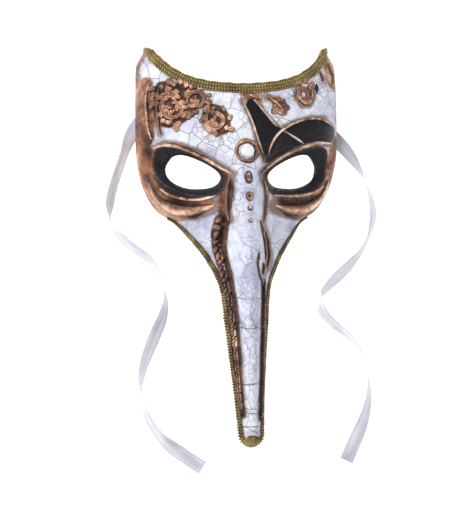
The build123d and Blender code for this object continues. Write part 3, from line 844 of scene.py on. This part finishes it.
def build_shell():
    plan, faces, border = shell_plan()
    outer, normal = skin_at(plan[:, 0], plan[:, 1])
    waves = [noise.noise(Vector(p) * 38) * 0.35 + noise.noise(Vector(p) * 110) * 0.12 for p in outer]
    outer = outer + normal * (np.array(waves) - 0.3)[:, None] * 0.5 * MM
    inner = outer - normal * wall_at(plan[:, 1])[:, None]
    skins = np.concatenate((outer, inner))
    skins[:, 2] = np.maximum(skins[:, 2], RIM_GAP)
    count = len(outer)
    outside = [face[::-1] for face in faces]
    lining = [tuple(v + count for v in face) for face in faces]
    edge = [(a, b, b + count, a + count) for a, b in border]
    piece = add_mesh("shell_paper", skins, outside + lining + edge, [paint, paper])
    materials = np.repeat([0, 1, 0], [len(outside), len(lining), len(edge)]).astype(np.int32)
    piece.data.polygons.foreach_set("material_index", materials)
    for zone, distances in shell_paint_distances(plan).items():
        set_attribute(piece, zone + "_distance", np.tile(distances / MM, 2))
    loose = np.ones(2 * count, bool)
    used = np.unique(faces)
    loose[used] = loose[used + count] = False
    recalculated(piece, loose)
    hand_in(piece, "papier_mache", "mask_shell")


build_shell()


# ---------------------------------------------------------------- relief cords
PROFILE = 13                 # points over a relief's section
SINK = 0.7 * MM              # how far its feet go into the shell


def stroke(points, normals, width, rise, seed, ends=(0.3, 0.3), lumps=0.16, furrow=0.0, taper=0.18):
    """A hand-laid rope of paste along the skin: points, faces and how near each point is to the crest."""
    count = len(points)
    across = ways(points, normals)[1]
    share = np.linspace(0, 1, count)
    swell = np.minimum(1, np.minimum(ends[0] + (1 - ends[0]) * np.sqrt(np.clip(share / taper, 0, 1)),
                                     ends[1] + (1 - ends[1]) * np.sqrt(np.clip((1 - share) / taper, 0, 1))))
    made, crest = [], []
    for i in range(count):
        place = Vector(points[i]) * 130 + Vector((seed * 7.3, 0, 0))
        wide = width / 2 * swell[i] * (1 + lumps * noise.noise(place))
        tall = rise * swell[i] * (1 + lumps * 1.6 * noise.noise(place * 1.7))
        for j in range(PROFILE):
            angle = math.pi * j / (PROFILE - 1)
            height = math.sin(angle) ** 0.8
            dent = furrow * math.exp(-((math.cos(angle) / 0.3) ** 2))
            ripple = 0.10 * noise.noise(place * 3.1 + Vector((0, angle * 2, 0)))
            lift = (height * (1 - dent) + ripple * height) * tall - (1 - height) * SINK
            made.append(points[i] - across[i] * math.cos(angle) * wide + normals[i] * lift)
            crest.append(height * (1 - dent * 1.6))
    return made, tube_faces(count, PROFILE), crest


def merge(parts):
    """Several (points, faces, crest) lists as one."""
    points, faces, crest = [], [], []
    for p, f, c in parts:
        faces += [tuple(v + len(points) for v in face) for face in f]
        points += list(p)
        crest += list(c)
    return points, faces, crest


def add_relief(name, parts, material, slot="copper_relief", nodes=()):
    points, faces, crest = merge(parts)
    piece = add_mesh(name, points, faces, [material])
    set_attribute(piece, "crest", crest)
    recalculated(piece)
    hand_in(piece, slot, *nodes)


CREAM_LINES = {"left_upper_lid", "right_upper_lid", "left_lower_lid", "right_lower_lid", "panel_left_vein",
               "panel_long_vein", "panel_upper_vein", "panel_lower_vein", "left_side_loop"}
for number, (node, (plan, width, rise)) in enumerate(RELIEFS.items()):
    points, normals = on_skin(plan)
    taper, ends = (0.5, (0.08, 0.08)) if "roll" in node else (0.18, (0.3, 0.3))
    made = stroke(points, normals, width * MM, rise * MM, number, ends, taper=taper)
    paste = cream if node in CREAM_LINES else aged_copper if "nose" in node or "brow" in node else copper
    add_relief(node + "_paste", [made], paste, nodes=[node])


def leaf(x, y, heading, length, width, rise, seed):
    """A small teardrop lobe of paste, its thick end at x, y."""
    bend = 0.35 * math.sin(seed * 2.1)
    plan = []
    for share in (0, 0.33, 0.66, 1):
        turn = math.radians(heading) + bend * share
        plan.append((x + length * share * math.cos(turn), y + length * share * math.sin(turn)))
    points, normals = on_skin(plan, 0.7 * MM)
    return stroke(points, normals, width * MM, rise * MM, seed, ends=(0.75, 0.12), lumps=0.2, furrow=0.2)


def scroll_with_leaves(node, number):
    """A scroll of relief with lobes fanned round its outside."""
    centre, first, last, start, turns, width, rise = SCROLLS[node]
    line = spiral(centre, first, last, start, turns)
    points, normals = on_skin(line, 0.7 * MM)
    parts = [stroke(points, normals, width * MM, rise * MM, 40 + number, lumps=0.24, furrow=0.3)]
    random = np.random.default_rng(11 + number)
    lobes = int(7 * first / 8)
    for k in range(lobes):
        angle = start + 360 * turns * k / lobes
        away = math.radians(angle)
        x, y = centre[0] + (first + 1.2) * math.cos(away), centre[1] + (first + 1.2) * math.sin(away)
        swing = angle + random.uniform(55, 105) * (1 if turns > 0 else -1)
        parts.append(leaf(x, y, swing, random.uniform(4, 6), random.uniform(3.4, 4.8),
                          random.uniform(1.6, 2.6), 60 + number * 10 + k))
    for k in range(3):
        angle = random.uniform(0, 360)
        parts.append(leaf(centre[0] + 1.5 * math.cos(angle), centre[1] + 1.5 * math.sin(angle),
                          angle * 57, 3.4, 2.8, 1.8, 90 + number * 5 + k))
    return parts


def lobes_over(shape, count, centre, seed):
    """Teardrop lobes crowded over a plan shape, curling round its centre."""
    random = np.random.default_rng(seed)
    line = outline(shape)
    low, high = line.min(axis=0) / MM, line.max(axis=0) / MM
    parts = []
    while len(parts) < count:
        x, y = random.uniform(low, high)
        if not inside(line, np.array([[x, y]]) * MM)[0]:
            continue
        heading = math.degrees(math.atan2(y - centre[1], x - centre[0])) + random.uniform(30, 110)
        parts.append(leaf(x, y, heading, random.uniform(3.6, 6.2), random.uniform(3.8, 6.0),
                          random.uniform(1.6, 3.2), seed * 31 + len(parts)))
    return parts


def strokes_along(lines, seed):
    """Strokes of paste, each given as its plan, width and rise in millimetres."""
    return [stroke(*on_skin(plan), width * MM, rise * MM, seed + k, lumps=0.25)
            for k, (plan, width, rise) in enumerate(lines)]


EXTRA_LOBES = {
    "left_large_scroll": lobes_over(CLUSTER, 46, (-59, 118), 5),
    "left_middle_scroll": [],
    "left_small_scroll": lobes_over(SMALL_CLUSTER, 16, (-24.5, 107.5), 8),
}
for number, node in enumerate(SCROLLS):
    add_relief(node + "_paste", scroll_with_leaves(node, number) + EXTRA_LOBES[node], copper, nodes=[node])

# x, y, heading, length, width
RIGHT_LEAVES = [(21, 128, -30, 9, 4.4), (27, 124, -55, 8, 4.0), (24, 119, 20, 7, 3.4), (48, 134, -80, 9, 4.0),
                (53, 137, -75, 8, 3.6), (58, 134, -100, 9, 4.2), (62, 141, -95, 8, 3.2),
                (52, 126, -30, 7, 4.0), (4, 129, -20, 10, 2.8), (70, 150, -60, 9, 2.8),
                (79, 158, -85, 12, 2.6), (83, 152, -88, 12, 2.4)]
LEAF_RISE = 1.9
leaves = [leaf(*sizes, LEAF_RISE, 200 + k) for k, sizes in enumerate(RIGHT_LEAVES)]
leaves += lobes_over(RIGHT_CLUSTER, 12, (55, 130), 21) + lobes_over(RIGHT_BRANCH, 8, (28, 118), 23)
add_relief("right_forehead_leaves", leaves, copper)
NOSE_STROKES = [([(9, 22), (13, 10), (16, 0), (15.5, -12)], 3.4, 1.8),
                ([(8, -5), (5, -13), (6, -22), (10, -28), (13, -34)], 3.0, 1.8),
                ([(12, -14), (14, -19), (12, -24)], 4.2, 2.6)]
add_relief("right_nose_strokes", strokes_along(NOSE_STROKES, 300), aged_copper)


# ---------------------------------------------------------------- studs, ring, dome, diamond
def dome(x, y, wide, long, rise, seed, power=2.0, dent=0.0, diamond=False, lumps=0.08):
    """A closed button on the skin: polar rows over a domed top, its edge sunk in the shell."""
    origin, up = (found[0] for found in skin_at(np.array([x * MM]), np.array([y * MM])))
    ahead = unit(np.cross(up, (1.0, 0.0, 0.0)))
    right = np.cross(ahead, up)
    rings, around = 9, 28
    points, crest = [origin + up * (rise * (1 - dent) * MM)], [1 - dent]
    for i in range(1, rings + 1):
        radius = i / rings
        for j in range(around):
            angle = 2 * math.pi * j / around
            u, v = radius * math.cos(angle), radius * math.sin(angle)
            level = max(0.0, 1 - radius**power) ** (1 / power) * (1 - dent * math.exp(-((radius / 0.4) ** 2)))
            level *= 1 + lumps * noise.noise(Vector((u * 2, v * 2, seed * 3.1)) * 1.5)
            reach = MM / (abs(math.cos(angle)) + abs(math.sin(angle))) if diamond else MM
            height = level * rise * MM - (SINK if i == rings else 0)
            points.append(origin + (right * u * wide + ahead * v * long) * reach + up * height)
            crest.append(level)
    walls = tube_faces(rings, around, 1)
    fan = [(0, 1 + (j + 1) % around, 1 + j) for j in range(around)]
    return points, fan + walls[:-2] + walls[-1:], crest


def torus_on_skin(x, y, radius, tube, seed):
    angle = np.linspace(0, 2 * math.pi, 73)
    points, normals = skin_at((x + radius * np.cos(angle)) * MM, (y + radius * np.sin(angle)) * MM)
    made, faces, crest = stroke(points, normals, tube * 2 * MM, tube * MM, seed, ends=(1, 1), lumps=0.5)
    last = (len(points) - 1) * PROFILE
    closing = [(last + j, last + (j + 1) % PROFILE, (j + 1) % PROFILE, j) for j in range(PROFILE)]
    return made, faces[:-2] + closing, crest


add_relief("boss_ring_paste", [torus_on_skin(0, 80.5, 8.7, 1.9, 3)], aged_copper, nodes=["boss_ring"])
add_relief("boss_dome_gloss", [dome(*STUDS["boss_dome"], 1, lumps=0.03)], white_dome(), "white_dome",
           ["boss_dome"])
for seed, node, paste in ((0, "oval_stud", cream), (1, "small_stud", copper), (2, "nose_stud", copper)):
    add_relief(node + "_paste", [dome(*STUDS[node], seed, lumps=0.3)], paste, nodes=[node])
add_relief("ring_stud_paste", [dome(*STUDS["ring_stud"], 5, dent=0.6, lumps=0.3)], cream, nodes=["ring_stud"])
add_relief("diamond_stud_gloss", [dome(*STUDS["diamond_stud"], 6, power=1.4, diamond=True)], black_gloss(),
           "black_paint", ["diamond_stud"])


# ---------------------------------------------------------------- braid and beads, by Geometry Nodes
def grain_mesh():
    """A unit ellipsoid bead of a few dozen faces, with the height of each point as its crest."""
    around, rings = 8, 5
    points = [(0.0, 0.0, -1.0)]
    for i in range(1, rings):
        tilt = math.pi * i / rings
        for j in range(around):
            turn = 2 * math.pi * j / around
            points.append((math.sin(tilt) * math.cos(turn), math.sin(tilt) * math.sin(turn), -math.cos(tilt)))
    points.append((0.0, 0.0, 1.0))
    top = len(points) - 1
    last = top - around
    faces = [(0, 1 + (j + 1) % around, 1 + j) for j in range(around)] + tube_faces(rings - 1, around, 1)[:-2]
    faces += [(last + j, last + (j + 1) % around, top) for j in range(around)]
    made = add_mesh("grain", points, faces, [])
    set_attribute(made, "crest", [0.5 + 0.5 * p[2] for p in points])
    return made


def grain_tree():
    """Sets one grain on every point, turned and sized by the point's own attributes."""
    tree = bpy.data.node_groups.new("set_grains", "GeometryNodeTree")
    for name, kind, where in (("Geometry", "Geometry", "INPUT"), ("Grain", "Object", "INPUT"),
                              ("Material", "Material", "INPUT"), ("Geometry", "Geometry", "OUTPUT")):
        tree.interface.new_socket(name, in_out=where, socket_type="NodeSocket" + kind)

    def node(kind, links=None, **settings):
        made = tree.nodes.new(kind)
        for key, value in settings.items():
            setattr(made, key, value)
        for socket, source in (links or {}).items():
            if isinstance(source, bpy.types.NodeSocket):
                tree.links.new(source, made.inputs[socket])
            else:
                made.inputs[socket].default_value = source
        return made

    given = node("NodeGroupInput")
    turn = node("GeometryNodeInputNamedAttribute", {"Name": "turn"}, data_type="FLOAT_VECTOR")
    size = node("GeometryNodeInputNamedAttribute", {"Name": "size"}, data_type="FLOAT_VECTOR")
    vary = node("FunctionNodeRandomValue", {"Min": (0.9,) * 3, "Max": (1.1,) * 3, "Seed": 7},
                data_type="FLOAT_VECTOR")
    scale = node("ShaderNodeVectorMath", {0: size.outputs[0], 1: vary.outputs[0]}, operation="MULTIPLY")
    grain = node("GeometryNodeObjectInfo", {"Object": given.outputs["Grain"]})
    laid = node("GeometryNodeInstanceOnPoints", {
        "Points": given.outputs["Geometry"], "Instance": grain.outputs["Geometry"],
        "Rotation": turn.outputs[0], "Scale": scale.outputs[0]})
    real = node("GeometryNodeRealizeInstances", {"Geometry": laid.outputs[0]})
    painted = node("GeometryNodeSetMaterial", {"Geometry": real.outputs[0],
                                              "Material": given.outputs["Material"]})
    node("NodeGroupOutput", {"Geometry": painted.outputs[0]})
    return tree


grain = grain_mesh()
grains = grain_tree()


def lay_grains(name, slot, places, material):
    """A mesh of grains; each place is (point, long axis, up axis, half sizes)."""
    piece = add_mesh(name, [p[0] for p in places], [], [])
    turns, sizes = [], []
    for _, ahead, up, size in places:
        ahead, up = Vector(ahead).normalized(), Vector(up).normalized()
        side = up.cross(ahead).normalized()
        turns += Matrix((ahead, side, ahead.cross(side))).transposed().to_euler()[:]
        sizes += size
    for key, values in (("turn", turns), ("size", sizes)):
        layer = piece.data.attributes.new(key, "FLOAT_VECTOR", "POINT")
        layer.data.foreach_set("vector", np.array(values, np.float32))
    modifier = piece.modifiers.new("grains", "NODES")
    modifier.node_group = grains
    sockets = {item.name: item.identifier for item in grains.interface.items_tree if item.in_out == "INPUT"}
    modifier[sockets["Grain"]] = grain
    modifier[sockets["Material"]] = material
    mesh = bpy.data.meshes.new_from_object(piece.evaluated_get(bpy.context.evaluated_depsgraph_get()))
    piece.modifiers.clear()
    piece.data = mesh
    mesh.polygons.foreach_set("use_smooth", [True] * len(mesh.polygons))
    hand_in(piece, slot)


TOP_BRAID_WIDTH, TOP_BRAID_LAP, TOP_BRAID_REACH = 8.0 * MM, 0.4 * MM, 78.5 * MM
NOSE_BRAID_WIDTH, NOSE_BRAID_INSET, NOSE_BRAID_TOP = 6.0 * MM, 1.5 * MM, 25.0 * MM
SIDE_STEP = 0.004                # of the skin's side value
# the nose braid's side value at each angle round the tip
TIP_BEND = [(20, 0.66), (38, 0.62), (54, 0.55), (68, 0.42), (78, 0.12), (84, 0.0)]
SIDE_WEIGHT = 0.02               # of the side value against y, in metres, when points are spaced
TIP_TUFT = (-164.0, 6.0, 4.6)    # y of its middle, half width, half length
TIP_GRAINS = 52
GOLDEN_ANGLE = math.radians(137.5)
# rows of a braid: place over its width, slant in degrees, step, half sizes of a grain, in millimetres
BRAID_ROWS = [(0.2, 52, 2.5, (2.0, 1.0, 0.85)), (-0.2, -52, 2.5, (2.0, 1.0, 0.85)),
              (0.47, 8, 2.5, (1.45, 1.0, 0.9)), (-0.47, -8, 2.5, (1.45, 1.0, 0.9)),
              (0.0, 90, 1.25, (0.7, 0.5, 0.9))]
BRAID_POINT = 0.3                # share of its width that a drawn-in end keeps


def top_braid_line():
    """Points and normals half a braid width below the forehead edge."""
    x = np.linspace(-TOP_BRAID_REACH, TOP_BRAID_REACH, 400)
    edge = np.stack([x, edge_height(x)], axis=1)
    run = unit(np.gradient(edge, axis=0))
    inwards = np.stack([run[:, 1], -run[:, 0]], axis=1)
    plan = spaced(edge + inwards * (TOP_BRAID_WIDTH / 2 - TOP_BRAID_LAP), 0.5 * MM)
    return skin_at(plan[:, 0], plan[:, 1])


def nose_braid_line(sign):
    """Points and normals along the rim of the nose and round to the middle of its end."""
    straight_end = TIP_Y + TIP_RADIUS
    y = np.linspace(NOSE_BRAID_TOP, straight_end, 90)
    side = np.ones_like(y)
    travelled = np.zeros_like(y)
    for _ in range(200):
        short = travelled < NOSE_BRAID_WIDTH / 2 + NOSE_BRAID_INSET
        step = np.linalg.norm(surface(side, y) - surface(side - SIDE_STEP, y), axis=1)
        travelled = travelled + np.where(short, step, 0)
        side = side - np.where(short, SIDE_STEP, 0)
    degrees, ends = np.array([(0, side[-1])] + TIP_BEND).T
    angle = np.linspace(0.05, math.radians(degrees[-1]), 26)
    side = np.concatenate((side, np.interp(angle, np.radians(degrees), ends))) * sign
    y = np.concatenate((y, straight_end - TIP_RADIUS * np.sin(angle)))
    line = spaced(np.stack([side * SIDE_WEIGHT, y], axis=1), 0.4 * MM)
    side, y = line[:, 0] / SIDE_WEIGHT, line[:, 1]
    return surface(side, y), surface_normal(side, y)


def at_steps(points, normals, step):
    both = np.concatenate((points, normals), axis=1)
    rows = points_at(np.arange(step / 2, run_of(points)[-1], step), both)
    return rows[:, :3], unit(rows[:, 3:])


def drawn_in(at, up, width, point):
    """The line with its ends pulled to the braid's outer edge, and the share of its width at each point."""
    if not point:
        return at, np.ones(len(at))
    run = run_of(at)
    narrow = np.clip(BRAID_POINT + (1 - BRAID_POINT) * np.minimum(run, run[-1] - run) / point, BRAID_POINT, 1)
    return at - ways(at, up)[1] * ((1 - narrow) * width * 0.5)[:, None], narrow


def braid(node, line, width, thread, point=0.0):
    """Gimp braid: a dark ground, two rows of slanted grains, a middle cord and a beaded edge.

    Both ends draw in to a point over the length given, against the edge that the braid follows.
    """
    at, up = at_steps(*line, 1.0 * MM)
    at, narrow = drawn_in(at, up, width, point)
    ends = (BRAID_POINT, BRAID_POINT) if point else (1, 1)
    made = stroke(at, up, width * 0.96, 1.0 * MM, 5, ends, lumps=0.0, taper=max(point / (len(at) * MM), 0.01))
    add_relief(node + "_ground", [made], ground, "gold_braid", [node])
    places = []
    for offset, slant, step, half_sizes in BRAID_ROWS:
        at, up = at_steps(*line, step * MM)
        at, narrow = drawn_in(at, up, width, point)
        ahead, across = ways(at, up)
        cosine, sine = math.cos(math.radians(slant)), math.sin(math.radians(slant))
        for i in range(len(at)):
            wave = 0.2 * MM * math.sin(i * 1.3) if abs(offset) > 0.4 else 0.0
            aside = across[i] * (offset * width * narrow[i] + wave)
            spot = at[i] + aside + up[i] * (1.0 - 1.1 * abs(offset)) * MM
            stretch = width / TOP_BRAID_WIDTH * (0.4 + 0.6 * narrow[i])
            size = (half_sizes[0] * stretch * MM, half_sizes[1] * MM, half_sizes[2] * MM)
            places.append((spot, ahead[i] * cosine + across[i] * sine, up[i], size))
    lay_grains(node + "_threads", "gold_braid", places, thread)


braid("top_braid", top_braid_line(), TOP_BRAID_WIDTH, gold, point=16 * MM)
braid("left_nose_braid", nose_braid_line(-1), NOSE_BRAID_WIDTH, grimy_gold)
braid("right_nose_braid", nose_braid_line(1), NOSE_BRAID_WIDTH, grimy_gold)


def tip_tuft():
    """Loose ends of the two nose braids, tucked over the blunt tip."""
    turn = np.arange(TIP_GRAINS) * GOLDEN_ANGLE
    reach = np.sqrt((np.arange(TIP_GRAINS) + 0.5) / TIP_GRAINS)
    middle, half_wide, half_long = TIP_TUFT
    x, y = reach * np.cos(turn) * half_wide, middle + reach * np.sin(turn) * half_long
    spots, up = skin_at(x * MM, y * MM)
    return [(spots[i] + up[i] * 0.5 * MM, (-math.sin(turn[i]), math.cos(turn[i]), 0.0), up[i],
             (1.9 * MM, 0.9 * MM, 0.8 * MM)) for i in range(TIP_GRAINS)]


def left_rope():
    """Slanted shell-like beads, smaller towards the tip, with a small one beside each."""
    at, up = at_steps(*on_skin(LEFT_ROPE), 0.5 * MM)
    ahead, across = ways(at, up)
    reach_at = smooth_through(LEFT_ROPE_REACH)
    beads, row, count = [], 0, 0
    while row < len(at):
        reach = float(reach_at(at[row, 1]))
        slant = math.radians(48 + 34 * math.sin(count * 2.3))
        sway = reach * (0.22 * math.sin(count * 1.9) + 0.18)
        grow = 0.9 + 0.16 * math.sin(count * 1.7)
        beads.append((at[row] + up[row] * 0.25 * reach + across[row] * sway,
                      ahead[row] * math.cos(slant) + across[row] * math.sin(slant), up[row],
                      (0.95 * reach * grow, 0.50 * reach * grow, 0.62 * reach)))
        small = 0.34 * reach * (1.2 + 0.4 * math.sin(count * 3.1))
        beads.append((at[row] + across[row] * 0.72 * reach, ahead[row] + across[row] * math.sin(count * 1.3),
                      up[row], (1.3 * small, 0.8 * small, 0.9 * small)))
        row += max(5, int(1.15 * reach / (0.5 * MM)))
        count += 1
    return beads


def right_rope():
    at, up = at_steps(*on_skin(RIGHT_ROPE), 3.6 * MM)
    ahead, across = ways(at, up)
    return [(at[i] + up[i] * 1.2 * MM, ahead[i] - across[i] * 0.7, up[i],
             (2.3 * MM, (1.4 + 0.3 * math.sin(i * 1.7)) * MM, 1.5 * MM)) for i in range(len(at))]


lay_grains("nose_tip_threads", "gold_braid", tip_tuft(), grimy_gold)
add_relief("left_nose_rope_ground", [stroke(*on_skin(LEFT_ROPE), 4.2 * MM, 0.8 * MM, 9, ends=(0.5, 0.5))],
           copper, nodes=["left_nose_rope"])
lay_grains("left_nose_rope_beads", "copper_relief", left_rope(), aged_copper)
lay_grains("right_nose_rope_beads", "copper_relief", right_rope(), aged_copper)
bpy.data.objects.remove(grain)


# ---------------------------------------------------------------- glue over the ribbon roots
BLOB_HALF = Vector((4.2, 8.0, 2.9)) * MM
BLOB_HEIGHT, BLOB_FOOT = 3.3 * MM, 0.9 * MM      # of its middle and its flat underside


def glue_blob(name, node, x, y, material):
    """A lumpy blob of set glue between the rim's inner face and the table."""
    sides, rings = 26, 14
    points = []
    for i in range(rings + 1):
        tilt = math.pi * i / rings
        for j in range(sides):
            turn = 2 * math.pi * j / sides
            way = Vector((math.sin(tilt) * math.cos(turn), math.sin(tilt) * math.sin(turn), math.cos(tilt)))
            swell = 1 + 0.16 * noise.noise(way * 1.8 + Vector((x, y, 0)))
            spot = Vector((x * MM, y * MM, BLOB_HEIGHT)) + way * BLOB_HALF * swell
            spot.z = max(spot.z, BLOB_FOOT)
            points.append(spot)
    piece = add_mesh(name, points, tube_faces(rings + 1, sides)[:-2], [material])
    recalculated(piece, merge=1e-7)
    hand_in(piece, "hot_glue", node)


set_glue = glue()
glue_blob("left_glue_blob", "left_glue_patch", *LEFT_RIBBON[0], set_glue)
glue_blob("right_glue_blob", "right_glue_patch", *RIGHT_RIBBON[0], set_glue)


# ---------------------------------------------------------------- floor and light
FLOOR_Z, FLOOR_HALF = -0.3 * MM, 4.0
STUDIO_COLOUR, STUDIO_STRENGTH = (0.92, 0.94, 1.0, 1.0), 0.62


def add_floor():
    # the floor glows: painted light from below that keeps the table white and washes out the shadows under
    # the mask
    r = Recipe("glowing_pale_floor", emission_strength=0.75, specular_ior_level=0.2)
    shade = r.ramp(r.noise(6.0, 2.0), (0.3, (0.93, 0.93, 0.93)), (0.7, (0.95, 0.95, 0.95)))
    material = r.finish(base_color=shade, roughness=r.noise(20.0) * 0.1 + 0.7, emission_color=shade)
    corners = [(x * FLOOR_HALF, y * FLOOR_HALF, FLOOR_Z) for x, y in ((-1, -1), (1, -1), (1, 1), (-1, 1))]
    floor = add_mesh("floor", corners, [(0, 1, 2, 3)], [material], smooth=False)


def add_area(name, spot, size, power):
    data = bpy.data.lights.new(name, "AREA")
    data.shape = "DISK"
    data.size, data.energy = size, power
    light = bpy.data.objects.new(name, data)
    light.location = spot
    light.rotation_euler = (-Vector(spot)).to_track_quat("-Z", "Y").to_euler()
    bpy.context.scene.collection.objects.link(light)


add_floor()
add_area("key", (-0.9, 0.9, 1.5), 0.7, 24)
add_area("fill", (1.3, -0.5, 1.3), 1.4, 4)
add_area("low", (-0.3, -1.6, 0.7), 0.9, 5)
world = bpy.data.worlds.new("studio")
world.use_nodes = True
world.node_tree.nodes["Background"].inputs["Color"].default_value = STUDIO_COLOUR
world.node_tree.nodes["Background"].inputs["Strength"].default_value = STUDIO_STRENGTH
bpy.context.scene.world = world
